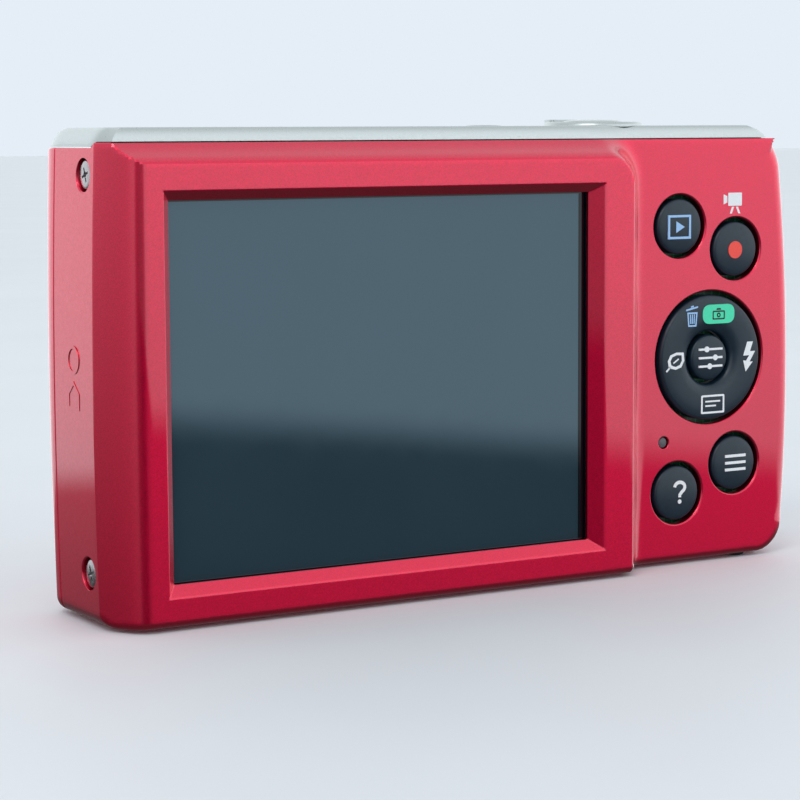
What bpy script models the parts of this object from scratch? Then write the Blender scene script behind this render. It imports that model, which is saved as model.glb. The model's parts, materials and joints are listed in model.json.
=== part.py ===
"""Compact digital camera: covers, zoom lens, display, controls, battery bay and the pieces inside.

Frame: +Z up, the lens faces -Y, the display faces +Y, the origin is the centre of the footprint.
Sizes below are millimetres. Meshes are written in metres.
"""
import math

import bmesh
import bpy

MM = 0.001

# Driving dimensions of the case
HALF_WIDTH = 47.5
BODY_TOP = 54.0
TOP_COVER_TOP = 53.8
CASE_BOTTOM = 0.45
CASE_MIDDLE_Z = 22.0
DISPLAY_FACE_Y = 11.05
PANEL_Y = 7.45
FRONT_FACE_Y = -8.6
LENS_RING_Y = -11.05
SEAM_Y = -4.3
WALL = 1.2
GAP = 0.3
COVER_TOP = 51.55
LIP_TOP = 52.1

# Raised display frame, distances from the centre line as seen from behind
FRAME_LEFT = 44.0
FRAME_RIGHT = 20.2
FRAME_TOP = 50.3
FRAME_CORNER = 3.5
COVE_WIDTH = 3.9
COVE_DEPTH = DISPLAY_FACE_Y - PANEL_Y
LEFT_BEVEL_DEPTH = 4.8
PANEL_EDGE_RADIUS = 2.4
BASE_EDGE_RADIUS = 0.85
OPENING_Y = 10.25
LIP_BACK_Y = 9.9
PANEL_BACK_Y = 6.25

# Controls on the back: (x, z, hole radius)
PLAYBACK = (-29.4, 41.6, 3.75)
MOVIE = (-38.0, 38.65, 3.75)
PAD = (-34.1, 25.4, 8.2)
HELP = (-29.2, 8.95, 3.75)
MENU = (-38.05, 12.05, 3.75)
STATUS_LAMP = (-27.15, 15.3, 0.75)
SET_HOLE = 3.3

# Controls on the top: x, y
SHUTTER = (-21.3, 0.6)
POWER = (-5.4, 0.8)

# Lens axis and the nested barrels: (outer radius, inner radius, front, back)
LENS_X = 7.0
LENS_Z = 26.0
LENS_HOLE = 17.5
OUTER_BARREL = (16.6, 15.2, -10.5, 1.6)
MIDDLE_BARREL = (14.8, 13.5, -10.3, 1.0)
INNER_BARREL = (13.0, 11.8, -10.0, 0.4)

# Zoom gear train
GEAR_MODULE = 0.4
CAM_TEETH = 90
IDLER_TEETH = 12
PINION_TEETH = 8
GEAR_ANGLE = math.radians(45.0)

# Battery bay
DOOR_X = (-44.6, -15.2)
DOOR_Y = (-7.0, 2.9)
DOOR_THICKNESS = 1.6

# Corner radii of the case: top left, top right, bottom right, bottom left, seen from behind
CASE_CORNERS = (0.15, 0.15, 4.5, 2.2)
FACE_CORNERS = (0.15, 0.15, 2.8, 1.4)
INNER_CORNERS = (0.15, 0.15, 3.2, 1.0)

# Points along each side of a cover loop
TOP_STEPS = 14
RIGHT_STEPS = 12
BASE_STEPS = 12
LEFT_STEPS = 8
CORNER_STEPS = 4
ROUND = 32

RED = ((0.42, 0.012, 0.035), 0.3, 0.45)
SILVER = ((0.55, 0.58, 0.57), 0.35, 0.8)
STEEL = ((0.6, 0.6, 0.6), 0.3, 1.0)
BRASS = ((0.65, 0.5, 0.25), 0.35, 1.0)
DARK_PLASTIC = ((0.03, 0.04, 0.05), 0.4, 0.0)
BLACK = ((0.008, 0.008, 0.009), 0.5, 0.0)
GLASS = ((0.02, 0.03, 0.04), 0.06, 0.0)
CLEAR = ((0.7, 0.75, 0.75), 0.1, 0.0)
BOARD = ((0.02, 0.16, 0.07), 0.5, 0.0)
GREY = ((0.25, 0.25, 0.26), 0.5, 0.0)
WHITE = ((0.8, 0.8, 0.78), 0.5, 0.0)


# ---------------------------------------------------------------- mesh helpers

def place(axis, first, second, along):
    """World point from two cross coordinates and a distance along an axis."""
    if axis == "X":
        return (along, first, second)
    if axis == "Y":
        return (first, along, second)
    return (first, second, along)


def finish(name, bm, finish_values, origin=(0.0, 0.0, 0.0)):
    """Turn a bmesh in millimetres into a named object with its origin at a given point."""
    bmesh.ops.recalc_face_normals(bm, faces=bm.faces)
    for vertex in bm.verts:
        vertex.co = [(vertex.co[i] - origin[i]) * MM for i in range(3)]
    mesh = bpy.data.meshes.new(name)
    bm.to_mesh(mesh)
    bm.free()
    mesh.shade_smooth()
    mesh.set_sharp_from_angle(angle=math.radians(30.0))
    obj = bpy.data.objects.new(name, mesh)
    obj.location = [value * MM for value in origin]
    bpy.context.scene.collection.objects.link(obj)
    color, roughness, metallic = finish_values
    material = bpy.data.materials.new(name + "_finish")
    material.use_nodes = True
    shader = material.node_tree.nodes["Principled BSDF"]
    shader.inputs["Base Color"].default_value = (*color, 1.0)
    shader.inputs["Roughness"].default_value = roughness
    shader.inputs["Metallic"].default_value = metallic
    mesh.materials.append(material)
    return obj


def prism(outline, axis, low, high, bm=None):
    """Closed solid from a flat outline pulled along an axis."""
    bm = bm or bmesh.new()
    ends = [[bm.verts.new(place(axis, a, b, h)) for a, b in outline] for h in (low, high)]
    bm.faces.new(ends[0])
    bm.faces.new(reversed(ends[1]))
    count = len(outline)
    for i in range(count):
        j = (i + 1) % count
        bm.faces.new((ends[0][i], ends[1][i], ends[1][j], ends[0][j]))
    return bm


def box(x, y, z, bm=None):
    """Plain block from three (low, high) pairs."""
    outline = [(x[0], y[0]), (x[1], y[0]), (x[1], y[1]), (x[0], y[1])]
    return prism(outline, "Z", z[0], z[1], bm)


def circle(cx, cy, radius, steps=ROUND):
    return [(cx + radius * math.cos(2 * math.pi * i / steps),
             cy + radius * math.sin(2 * math.pi * i / steps)) for i in range(steps)]


def rounded_rectangle(a, b, radius, steps=4):
    """Outline with round corners from two (low, high) pairs."""
    corners = [(a[1] - radius, b[1] - radius, 0), (a[0] + radius, b[1] - radius, 90),
               (a[0] + radius, b[0] + radius, 180), (a[1] - radius, b[0] + radius, 270)]
    points = []
    for cx, cy, start in corners:
        for i in range(steps + 1):
            angle = math.radians(start + 90.0 * i / steps)
            points.append((cx + radius * math.cos(angle), cy + radius * math.sin(angle)))
    return points


def lathe(profile, axis, centre, steps=ROUND, bm=None):
    """Closed round solid from a closed profile of (radius, position along the axis)."""
    bm = bm or bmesh.new()
    rings = []
    for radius, along in profile:
        if radius == 0.0:
            rings.append([bm.verts.new(place(axis, centre[0], centre[1], along))] * steps)
        else:
            rings.append([bm.verts.new(place(axis, a, b, along))
                          for a, b in circle(centre[0], centre[1], radius, steps)])
    for k, ring in enumerate(rings):
        following = rings[(k + 1) % len(rings)]
        for i in range(steps):
            j = (i + 1) % steps
            corners = dict.fromkeys((ring[i], ring[j], following[j], following[i]))
            if len(corners) > 2:
                bm.faces.new(corners)
    return bm


def cylinder(axis, centre, radius, low, high, steps=ROUND, bm=None):
    return prism(circle(centre[0], centre[1], radius, steps), axis, low, high, bm)


def shape_with(obj, bm, operation):
    """Boolean the closed bodies of a bmesh in millimetres into an object."""
    bmesh.ops.recalc_face_normals(bm, faces=bm.faces)
    for vertex in bm.verts:
        vertex.co = vertex.co * MM
    mesh = bpy.data.meshes.new("tool")
    bm.to_mesh(mesh)
    bm.free()
    tool = bpy.data.objects.new("tool", mesh)
    bpy.context.scene.collection.objects.link(tool)
    modifier = obj.modifiers.new("shape", "BOOLEAN")
    modifier.operation = operation
    modifier.solver = "EXACT"
    modifier.object = tool
    depsgraph = bpy.context.evaluated_depsgraph_get()
    shaped = bpy.data.meshes.new_from_object(obj.evaluated_get(depsgraph))
    obj.modifiers.remove(modifier)
    obj.data = shaped
    bpy.data.objects.remove(tool)
    weld(obj)


def weld(obj):
    """Close hairline seams and drop slivers that a cut leaves."""
    bm = bmesh.new()
    bm.from_mesh(obj.data)
    bmesh.ops.remove_doubles(bm, verts=bm.verts, dist=2e-6)
    bmesh.ops.dissolve_degenerate(bm, edges=bm.edges, dist=2e-6)
    bm.to_mesh(obj.data)
    bm.free()
    obj.data.set_sharp_from_angle(angle=math.radians(30.0))


def cut(obj, bm):
    shape_with(obj, bm, "DIFFERENCE")


def join(obj, bm):
    shape_with(obj, bm, "UNION")


# ---------------------------------------------------------------- outline of the case

def top_round(z, radius):
    """How far a side draws in near the top of the case."""
    above = z - (BODY_TOP - radius)
    if above <= 0.0:
        return 0.0
    return radius - math.sqrt(max(0.0, radius ** 2 - above ** 2))


def left_side(z):
    """Distance of the left side, seen from behind, from the centre line."""
    return HALF_WIDTH - (z - CASE_MIDDLE_Z) ** 2 / 1400.0 - top_round(z, 2.4)


def right_side(z):
    """Distance of the bulged grip side from the centre line."""
    return HALF_WIDTH - (z - CASE_MIDDLE_Z) ** 2 / 460.0 - top_round(z, 5.5)


def inset(side, amount):
    return lambda z: side(z) - amount


def fixed(value):
    return lambda z: value


def loop(left, right, base, top, radii=(0.15, 0.15, 0.15, 0.15)):
    """Closed outline seen from behind as (distance right of centre, height).

    It starts at the top left corner and runs right, down, left and up again. radii are those of
    the top left, top right, bottom right and bottom left corners.
    """
    top_left, top_right, base_right, base_left = radii
    points = []

    def corner(centre_u, centre_z, radius, start):
        for i in range(CORNER_STEPS + 1):
            angle = math.radians(start - 90.0 * i / CORNER_STEPS)
            points.append((centre_u + radius * math.cos(angle), centre_z + radius * math.sin(angle)))

    def run(start, end, steps):
        for i in range(1, steps):
            t = i / steps
            points.append((start[0] + (end[0] - start[0]) * t, start[1] + (end[1] - start[1]) * t))

    def side(function, sign, start, end, steps):
        for i in range(1, steps):
            z = start + (end - start) * (1.0 - math.cos(math.pi * i / steps)) / 2.0
            points.append((sign * function(z), z))

    corner(-left(top - top_left) + top_left, top - top_left, top_left, 180.0)
    start = points[-1]
    run(start, (right(top - top_right) - top_right, top), TOP_STEPS)
    corner(right(top - top_right) - top_right, top - top_right, top_right, 90.0)
    side(right, 1.0, top - top_right, base + base_right, RIGHT_STEPS)
    corner(right(base + base_right) - base_right, base + base_right, base_right, 0.0)
    start = points[-1]
    run(start, (-left(base + base_left) + base_left, base), BASE_STEPS)
    corner(-left(base + base_left) + base_left, base + base_left, base_left, -90.0)
    side(left, -1.0, base + base_left, top - top_left, LEFT_STEPS)
    return points


def cove_drop(distance):
    """Fall from the display frame towards the control panel, outside the frame's edge."""
    if distance <= 0.0:
        return 0.0
    remaining = max(0.0, 1.0 - distance / COVE_WIDTH)
    return COVE_DEPTH * (1.0 - remaining ** 2.2)


def rear_height(u, z):
    """Y of the back face at a place given as (distance right of centre, height)."""
    across = u - (FRAME_RIGHT - FRAME_CORNER)
    above = z - (FRAME_TOP - FRAME_CORNER)
    if across > 0.0 and above > 0.0:
        outside = math.hypot(across, above) - FRAME_CORNER
    else:
        outside = max(across, above) - FRAME_CORNER
    drop = cove_drop(outside)
    if -u > FRAME_LEFT:
        share = (-u - FRAME_LEFT) / (left_side(z) - FRAME_LEFT)
        drop = max(drop, LEFT_BEVEL_DEPTH * (0.75 * share + 0.25 * share ** 2))
    return DISPLAY_FACE_Y - drop


def loft(loops):
    """Closed ring-shaped solid through loops of points, the last joined to the first."""
    bm = bmesh.new()
    rows = [[bm.verts.new(point) for point in points] for points in loops]
    count = len(rows[0])
    for k, row in enumerate(rows):
        following = rows[(k + 1) % len(rows)]
        for i in range(count):
            j = (i + 1) % count
            bm.faces.new((row[i], row[j], following[j], following[i]))
    return bm


def at_depth(points, depth):
    """World points of an outline; depth is one number or one for each point."""
    if isinstance(depth, (int, float)):
        depth = [depth] * len(points)
    return [(-u, y, z) for (u, z), y in zip(points, depth)]


def around(top, right, base, left):
    """A value for each point of a loop: one for each side, blended round the corners."""
    values = []
    for before, after, steps in ((left, top, TOP_STEPS), (top, right, RIGHT_STEPS),
                                 (right, base, BASE_STEPS), (base, left, LEFT_STEPS)):
        for i in range(CORNER_STEPS + 1):
            values.append(before + (after - before) * i / CORNER_STEPS)
        values += [after] * (steps - 1)
    return values


def rounded_edge(outer, inner, start, radii, steps):
    """Loops that turn from a side wall, at start, over a round edge to an inner outline."""
    loops = []
    for k in range(1, steps):
        angle = math.radians(90.0 * k / steps)
        share = 1.0 - math.cos(angle)
        points = [(u0 + (u1 - u0) * share, z0 + (z1 - z0) * share)
                  for (u0, z0), (u1, z1) in zip(outer, inner)]
        loops.append((points, [y + radius * math.sin(angle) for y, radius in zip(start, radii)]))
    return loops


# ---------------------------------------------------------------- covers

def rear_cover():
    wall = loop(left_side, right_side, CASE_BOTTOM, COVER_TOP, CASE_CORNERS)
    lip = loop(left_side, right_side, CASE_BOTTOM, LIP_TOP, CASE_CORNERS)
    face = loop(inset(left_side, 0.05), inset(right_side, PANEL_EDGE_RADIUS),
                CASE_BOTTOM + BASE_EDGE_RADIUS, LIP_TOP - 0.05, FACE_CORNERS)
    radii = around(0.05, PANEL_EDGE_RADIUS, BASE_EDGE_RADIUS, 0.05)
    edge_start = [rear_height(u, z) - radius for (u, z), radius in zip(face, radii)]
    loops = [at_depth(wall, SEAM_Y),
             at_depth(wall, [min(5.75, y - 0.5) for y in edge_start]),
             at_depth(lip, [min(5.95, y - 0.25) for y in edge_start]),
             at_depth(lip, edge_start)]
    edge = rounded_edge(lip, face, edge_start, radii, 4)
    loops += [at_depth(points, depth) for points, depth in edge]

    face_outlines = [face]
    for right, share in ((36.0, 0.96), (FRAME_RIGHT + COVE_WIDTH, 0.9)):
        face_outlines.append(face_outline(right, share, FRAME_CORNER + 2.0))
    for k in range(4, -1, -1):
        distance = COVE_WIDTH * k / 5.0
        face_outlines.append(face_outline(FRAME_RIGHT + distance, 0.85 * k / 5.0,
                                          FRAME_CORNER + distance * 0.5))
    loops += [at_depth(points, [rear_height(u, z) for u, z in points]) for points in face_outlines]

    sharp = (0.15, 0.15, 0.15, 0.15)
    opening_edge = loop(fixed(41.2), fixed(15.8), 3.7, 47.1, sharp)
    opening = loop(fixed(40.3), fixed(13.8), 5.0, 46.1, sharp)
    pocket = loop(fixed(42.3), fixed(16.4), 3.0, 48.3, sharp)
    inner = inner_outline()
    loops += [at_depth(opening_edge, DISPLAY_FACE_Y), at_depth(opening, OPENING_Y),
              at_depth(opening, LIP_BACK_Y), at_depth(pocket, LIP_BACK_Y),
              at_depth(pocket, PANEL_BACK_Y), at_depth(inner, PANEL_BACK_Y),
              at_depth(inner, SEAM_Y)]
    cover = finish("rear_cover", loft(loops), RED)

    holes = bmesh.new()
    for x, z, radius in (PLAYBACK, MOVIE, PAD, HELP, MENU):
        cylinder("Y", (x, z), radius, 5.9, 8.5, ROUND, holes)
    cylinder("Y", STATUS_LAMP[:2], STATUS_LAMP[2], 5.9, 8.5, 12, holes)
    for spot in SIDE_SCREWS:
        cylinder("X", spot, 2.05, 44.8, 49.0, 20, holes)
    box((-38.0, 38.0), (-5.0, 5.6), (49.0, 52.5), holes)
    cylinder("Z", TRIPOD[:2], 4.3, -1.0, 2.2, ROUND, holes)
    cylinder("Z", BASE_SCREW[:2], 1.75, -1.0, 2.2, 16, holes)
    cut(cover, holes)
    cut(cover, battery_door_opening())
    cut(cover, door_pin(GAP))
    cut(cover, terminal_cover_block(GAP))
    cut(cover, box((-49.0, -45.0), (-1.9, 3.1), (10.2, 15.6)))
    feet = bmesh.new()
    for x in (-40.0, 40.0):
        cylinder("Z", (x, 5.4), 1.0, 0.0, 1.0, 12, feet)
    join(cover, feet)
    return cover


def inner_outline():
    """Inside of the walls of both covers."""
    return loop(inset(left_side, WALL), inset(right_side, WALL), CASE_BOTTOM + WALL, 50.2,
                INNER_CORNERS)


def face_outline(right, share, corner):
    """Outline on the back face between the display frame's edge (share 0) and the case's edge."""
    left = inset(left_side, 0.05)
    return loop(lambda z: FRAME_LEFT + (left(z) - FRAME_LEFT) * share, fixed(right),
                1.5 - 0.15 * share, FRAME_TOP + 1.7 * share,
                (0.3, corner, 0.8 + 2.0 * share, 0.3 + 1.1 * share))


def around_lens(points, radius):
    """Circle about the lens axis with one point in the direction of each outline point."""
    ring = []
    for u, z in points:
        angle = math.atan2(z - LENS_Z, u + LENS_X)
        ring.append((-LENS_X + radius * math.cos(angle), LENS_Z + radius * math.sin(angle)))
    return ring


def front_left(z):
    """Left edge of the flat front; the rolled corner beside it widens towards the base."""
    return left_side(z) - 2.0 - 2.4 * (1.0 - z / BODY_TOP) ** 1.5


def front_cover():
    wall = loop(left_side, right_side, CASE_BOTTOM, COVER_TOP, CASE_CORNERS)
    face = loop(front_left, inset(right_side, 4.0), CASE_BOTTOM + 1.6, COVER_TOP - 1.0, FACE_CORNERS)
    seam = SEAM_Y - 0.15
    loops = [at_depth(wall, seam)]
    steps = 5
    for k in range(steps + 1):
        angle = math.radians(90.0 * k / steps)
        points = []
        for (u0, z0), (u1, z1) in zip(wall, face):
            share = 1.0 - math.cos(angle)
            points.append((u0 + (u1 - u0) * share, z0 + (z1 - z0) * share))
        start = seam - 0.4
        loops.append(at_depth(points, start + (FRONT_FACE_Y - start) * math.sin(angle)))
    hole = around_lens(face, LENS_HOLE)
    inner_face = loop(inset(left_side, 4.4), inset(right_side, 4.4), 2.6, 50.0, FACE_CORNERS)
    inner = inner_outline()
    loops += [at_depth(hole, FRONT_FACE_Y), at_depth(hole, FRONT_FACE_Y + WALL),
              at_depth(inner_face, FRONT_FACE_Y + WALL), at_depth(inner, seam - 0.6),
              at_depth(inner, seam)]
    cover = finish("front_cover", loft(loops), RED)
    holes = bmesh.new()
    prism(rounded_rectangle(*FLASH_OPENING, 1.2), "Y", -9.5, -6.0, holes)
    cylinder("Y", FOCUS_LAMP, 2.0, -9.5, -6.0, 20, holes)
    for k in range(3):
        cylinder("Y", (-33.0 + 1.6 * k, 40.0), 0.35, -9.5, -6.0, 8, holes)
    box((-38.0, 38.0), (-6.2, -3.0), (49.0, 52.5), holes)
    cut(cover, holes)
    cut(cover, battery_door_opening())
    feet = bmesh.new()
    for x in (-10.0, 40.0):
        cylinder("Z", (x, -5.4), 1.0, 0.0, 1.0, 12, feet)
    join(cover, feet)
    return cover


def top_cover():
    """Silver cap over both covers, with a shallow dish for the zoom lever."""
    bottom = COVER_TOP + GAP
    bm = bmesh.new()
    rows = []
    steps = 5
    for k in range(steps + 1):
        angle = math.radians(90.0 * k / steps)
        z = bottom + (TOP_COVER_TOP - bottom) * math.sin(angle)
        draw_in = 1.0 - math.cos(angle)
        points = []
        for u, y in cap_outline():
            side = right_side(z) if u > 0.0 else left_side(z)
            reach = right_side(bottom) if u > 0.0 else left_side(bottom)
            points.append((-u * side / reach, y * (1.0 - 0.09 * draw_in), z))
        rows.append([bm.verts.new(point) for point in points])
    bm.faces.new(reversed(rows[0]))
    bm.faces.new(rows[-1])
    for row, following in zip(rows, rows[1:]):
        for i in range(len(row)):
            j = (i + 1) % len(row)
            bm.faces.new((row[i], row[j], following[j], following[i]))
    cover = finish("top_cover", bm, SILVER)
    cut(cover, box((-60.0, 60.0), (5.45, 12.0), (50.0, LIP_TOP + GAP + 0.05)))
    cut(cover, box((-60.0, -41.0), (4.2, 12.0), (50.0, LIP_TOP + GAP + 0.05)))
    cut(cover, cylinder("Z", SHUTTER, 6.35, 53.0, 56.0, 40))
    holes = bmesh.new()
    cylinder("Z", SHUTTER, 4.65, 50.0, 56.0, ROUND, holes)
    cylinder("Z", POWER, 2.5, 50.0, 56.0, 20, holes)
    cut(cover, holes)
    return cover


def cap_outline():
    """Plan of the silver cap as (distance right of centre, y), clockwise from the rear left."""
    bottom = COVER_TOP + GAP
    left = -left_side(bottom)
    right = right_side(bottom)
    points = []
    for u in (left + 1.3, left + 2.4, -30.0, -15.0, 0.0, 15.0, 20.0, 21.5, 23.0, 24.5, 30.0, 38.0,
              right - 2.6, right - 1.4):
        points.append((u, min(8.3, rear_height(max(u, left + 2.4), LIP_TOP)) - 0.05))
    points += [(right - 0.5, 6.6), (right, 5.2), (right, 0.0), (right, -4.0)]
    for k in range(1, 5):
        angle = math.radians(90.0 * k / 4)
        points.append((right - 3.4 * (1.0 - math.cos(angle)), -4.0 - 4.2 * math.sin(angle)))
    points += [(u, -8.2) for u in (30.0, 15.0, 0.0, -15.0, -30.0)]
    for k in range(4, 0, -1):
        angle = math.radians(90.0 * k / 4)
        points.append((left + 2.2 * (1.0 - math.cos(angle)), -4.0 - 4.2 * math.sin(angle)))
    points += [(left, -4.0), (left, 0.0), (left, 5.2), (left + 0.35, 6.4)]
    return points


# ---------------------------------------------------------------- frame, boards and bay

SIDE_SCREWS = [(3.45, 48.8), (3.65, 5.9)]
SIDE_SCREW_FACES = (46.75, 47.05)
BASE_SCREW = (34.0, 0.6)
TRIPOD = (20.0, 0.7)
FRAME_X = (-13.6, 45.4)
FRAME_Y = (-2.5, 2.4)
FRAME_Z = (2.1, 47.8)


def chassis_frame():
    bm = box(FRAME_X, FRAME_Y, FRAME_Z)
    frame = finish("chassis_frame", bm, STEEL)
    cut(frame, box((FRAME_X[0] + 0.8, FRAME_X[1] - 0.8), (-4.0, 4.0), (FRAME_Z[0] + 0.8, FRAME_Z[1] - 0.8)))
    holes = bmesh.new()
    cylinder("Z", TRIPOD, 4.3, 1.0, 4.0, ROUND, holes)
    cylinder("Z", BASE_SCREW, 0.9, 1.0, 4.0, 12, holes)
    cut(frame, holes)
    return frame


def screw(name, axis, centre, head_outer, direction, shank, radius):
    """Countersunk screw with a cross recess; head_outer is the head's face, direction points in."""
    head_inner = head_outer + 0.75 * direction
    tip = head_outer + shank * direction
    profile = [(0.0, head_outer), (radius - 0.17, head_outer), (radius, head_outer + 0.15 * direction),
               (radius, head_inner), (0.58, head_inner), (0.58, tip), (0.0, tip)]
    obj = finish(name, lathe(profile, axis, centre, 20), STEEL)
    for half_a, half_b in ((0.75, 0.16), (0.16, 0.75)):
        outline = [(centre[0] - half_a, centre[1] - half_b), (centre[0] + half_a, centre[1] - half_b),
                   (centre[0] + half_a, centre[1] + half_b), (centre[0] - half_a, centre[1] + half_b)]
        ends = sorted((head_outer - 0.3 * direction, head_outer + 0.4 * direction))
        cut(obj, prism(outline, axis, *ends))
    return obj


def screws():
    for name, spot, face in zip(("side_screw_upper", "side_screw_lower"), SIDE_SCREWS, SIDE_SCREW_FACES):
        screw(name, "X", spot, face, -1.0, 4.4, 1.75)
    screw("base_screw", "Z", BASE_SCREW, 0.75, 1.0, 4.0, 1.42)


def tripod_socket():
    profile = [(3.0, 0.75), (4.0, 0.75), (4.0, 5.6), (3.0, 5.6)]
    finish("tripod_socket", lathe(profile, "Z", TRIPOD), BRASS)


def boards():
    finish("main_board", box((28.4, 44.0), (2.75, 3.55), (7.2, 45.5)), BOARD)
    switches = finish("switch_board", box((-44.6, -22.0), (4.3, 4.95), (4.0, 46.5)), BOARD)
    cut(switches, cylinder("Y", (-36.0, 44.5), 1.0, 4.0, 6.0, 12))
    finish("top_board", box((-32.0, 4.0), (-4.0, 4.6), (48.9, 49.5)), BOARD)
    finish("loudspeaker", lathe([(0.0, -3.2), (3.4, -3.2), (3.9, -2.8), (3.9, -1.2), (2.4, -1.2),
                                 (1.6, -1.6), (0.0, -1.6)], "Y", (38.6, 42.6), 24), BLACK)
    profile = [(0.0, 6.6), (3.6, 6.6), (3.9, 6.9), (3.9, 36.4), (3.6, 36.7), (0.0, 36.7)]
    finish("flash_capacitor", lathe(profile, "Z", (36.5, -3.1), 24), DARK_PLASTIC)


BATTERY_X = (-44.0, -17.0)
BATTERY_Y = (-2.6, 2.4)
BATTERY_Z = (4.2, 36.2)


def battery_bay():
    finish("battery", prism(rounded_rectangle(BATTERY_X, BATTERY_Y, 1.2, 3), "Z", *BATTERY_Z), GREY)
    cage = box((BATTERY_X[0] - 0.9, BATTERY_X[1] + 0.9), (BATTERY_Y[0] - 0.9, BATTERY_Y[1] + 0.9),
               (4.0, BATTERY_Z[1] + 1.0))
    cage = finish("battery_box", cage, BLACK)
    cut(cage, box((BATTERY_X[0] - GAP, BATTERY_X[1] + GAP), (BATTERY_Y[0] - GAP, BATTERY_Y[1] + GAP),
                  (3.0, BATTERY_Z[1] + GAP)))
    latch = prism([(-18.0, 2.4), (-15.9, 2.4), (-15.9, 3.6), (-17.6, 3.6), (-18.0, 3.3)],
                  "Y", -2.0, 0.6)
    finish("battery_latch", latch, GREY, (-17.0, -0.7, 3.0))
    card = prism([(-41.0, 5.0), (-17.0, 5.0), (-17.0, 37.0), (-38.5, 37.0), (-41.0, 34.5)],
                 "Y", -6.5, -4.6)
    finish("memory_card", card, BLACK)
    slot = finish("card_slot", box((-41.6, -16.4), (-7.1, -4.0), (7.0, 37.6)), STEEL)
    cut(slot, box((-41.3, -16.7), (-6.8, -4.3), (5.0, 37.3)))


def door_section(margin, first_angle):
    """Outline of the door as (y, z) with its rolled hinge edge drawn up from first_angle."""
    middle_z = CASE_BOTTOM + DOOR_THICKNESS / 2.0
    radius = DOOR_THICKNESS / 2.0 + margin
    outline = []
    for k in range(9):
        angle = math.radians(first_angle + (90.0 - first_angle) * k / 8)
        outline.append((DOOR_Y[1] + radius * math.cos(angle), middle_z + radius * math.sin(angle)))
    front = DOOR_Y[0] - margin
    return outline + [(front, middle_z + radius), (front, middle_z - radius)]


def battery_door_opening():
    """Cutter for the door's opening, square below the hinge so that the door has room to swing."""
    outline = door_section(GAP, 0.0)
    outline.append((outline[0][0], outline[-1][1]))
    return prism(outline, "X", DOOR_X[0] - GAP, DOOR_X[1] + GAP)


def door_pin(margin):
    """Stub pins at both ends of the door's hinge edge."""
    centre = (DOOR_Y[1], CASE_BOTTOM + DOOR_THICKNESS / 2.0)
    return cylinder("X", centre, 0.42 + margin, DOOR_X[0] + 1.0, DOOR_X[1] + 1.0 + margin, 12)


def battery_door():
    solid = prism(door_section(0.0, -90.0), "X", *DOOR_X)
    hinge = (sum(DOOR_X) / 2.0, DOOR_Y[1], CASE_BOTTOM + DOOR_THICKNESS / 2.0)
    door = finish("battery_door", solid, RED, hinge)
    join(door, door_pin(0.0))


TERMINAL_X = -46.0
TERMINAL_Y = (-2.2, 3.4)
TERMINAL_Z = (39.0, 47.0)


def terminal_cover_block(margin):
    return box((-49.0, -45.3 + margin), (TERMINAL_Y[0] - margin - 0.8, TERMINAL_Y[1] + margin),
               (TERMINAL_Z[0] - margin, TERMINAL_Z[1] + margin))


def terminal_cover():
    """Flap that follows the grip side, rolled round at its hinge edge."""
    steps = 4
    rows = []
    for k in range(steps + 1):
        z = TERMINAL_Z[0] + (TERMINAL_Z[1] - TERMINAL_Z[0]) * k / steps
        outer = -right_side(z)
        section = [(outer + 0.95, TERMINAL_Y[1]), (outer, TERMINAL_Y[1]), (outer, TERMINAL_Y[0])]
        for i in range(1, 5):
            angle = math.radians(180.0 * i / 5)
            section.append((outer + 0.475 * (1.0 - math.cos(angle)),
                            TERMINAL_Y[0] - 0.475 * math.sin(angle)))
        section.append((outer + 0.95, TERMINAL_Y[0]))
        rows.append([(x, y, z) for x, y in section])
    bm = bmesh.new()
    verts = [[bm.verts.new(point) for point in row] for row in rows]
    bm.faces.new(verts[0])
    bm.faces.new(reversed(verts[-1]))
    for row, following in zip(verts, verts[1:]):
        for i in range(len(row)):
            j = (i + 1) % len(row)
            bm.faces.new((row[i], row[j], following[j], following[i]))
    finish("terminal_cover", bm, BLACK, (TERMINAL_X, TERMINAL_Y[0], 43.0))
    socket = finish("terminal_socket", box((-44.9, -39.5), (-1.4, 1.8), (39.8, 46.2)), STEEL)
    cut(socket, box((-46.0, -41.0), (-1.1, 1.5), (40.1, 45.9)))


def strap_bar():
    finish("strap_bar", cylinder("Z", (-46.6, 0.6), 0.55, 10.5, 15.3, 12), STEEL)


# ---------------------------------------------------------------- display

def display():
    finish("display_window", box((-15.6, 42.0), (8.8, 9.6), (3.4, 47.9)), GLASS)
    finish("display_module", box((-15.0, 41.4), (5.8, 8.45), (4.0, 47.3)), GREY)
    finish("display_bracket", box((-15.0, 41.4), (4.9, 5.4), (4.0, 47.3)), STEEL)


# ---------------------------------------------------------------- lens

def barrel(name, sizes, finish_values, lip):
    """Tube with a narrow inward lip at its front edge."""
    outer, inner, front, back = sizes
    profile = [(outer, front + 0.3), (outer, back), (inner, back), (inner, front + 0.8),
               (inner - lip, front + 0.8), (inner - lip, front), (outer - 0.3, front)]
    finish(name, lathe(profile, "Y", (LENS_X, LENS_Z), 48), finish_values, (LENS_X, front, LENS_Z))


def lens_barrels():
    centre = (LENS_X, LENS_Z)
    profile = [(17.2, LENS_RING_Y + 0.7), (17.8, LENS_RING_Y), (19.9, LENS_RING_Y),
               (21.0, -9.6), (21.2, FRONT_FACE_Y - GAP), (17.2, FRONT_FACE_Y - GAP)]
    finish("lens_ring", lathe(profile, "Y", centre, 48), SILVER)
    barrel("outer_barrel", OUTER_BARREL, SILVER, 0.05)
    barrel("middle_barrel", MIDDLE_BARREL, SILVER, 0.05)
    barrel("inner_barrel", INNER_BARREL, SILVER, 0.05)


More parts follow.
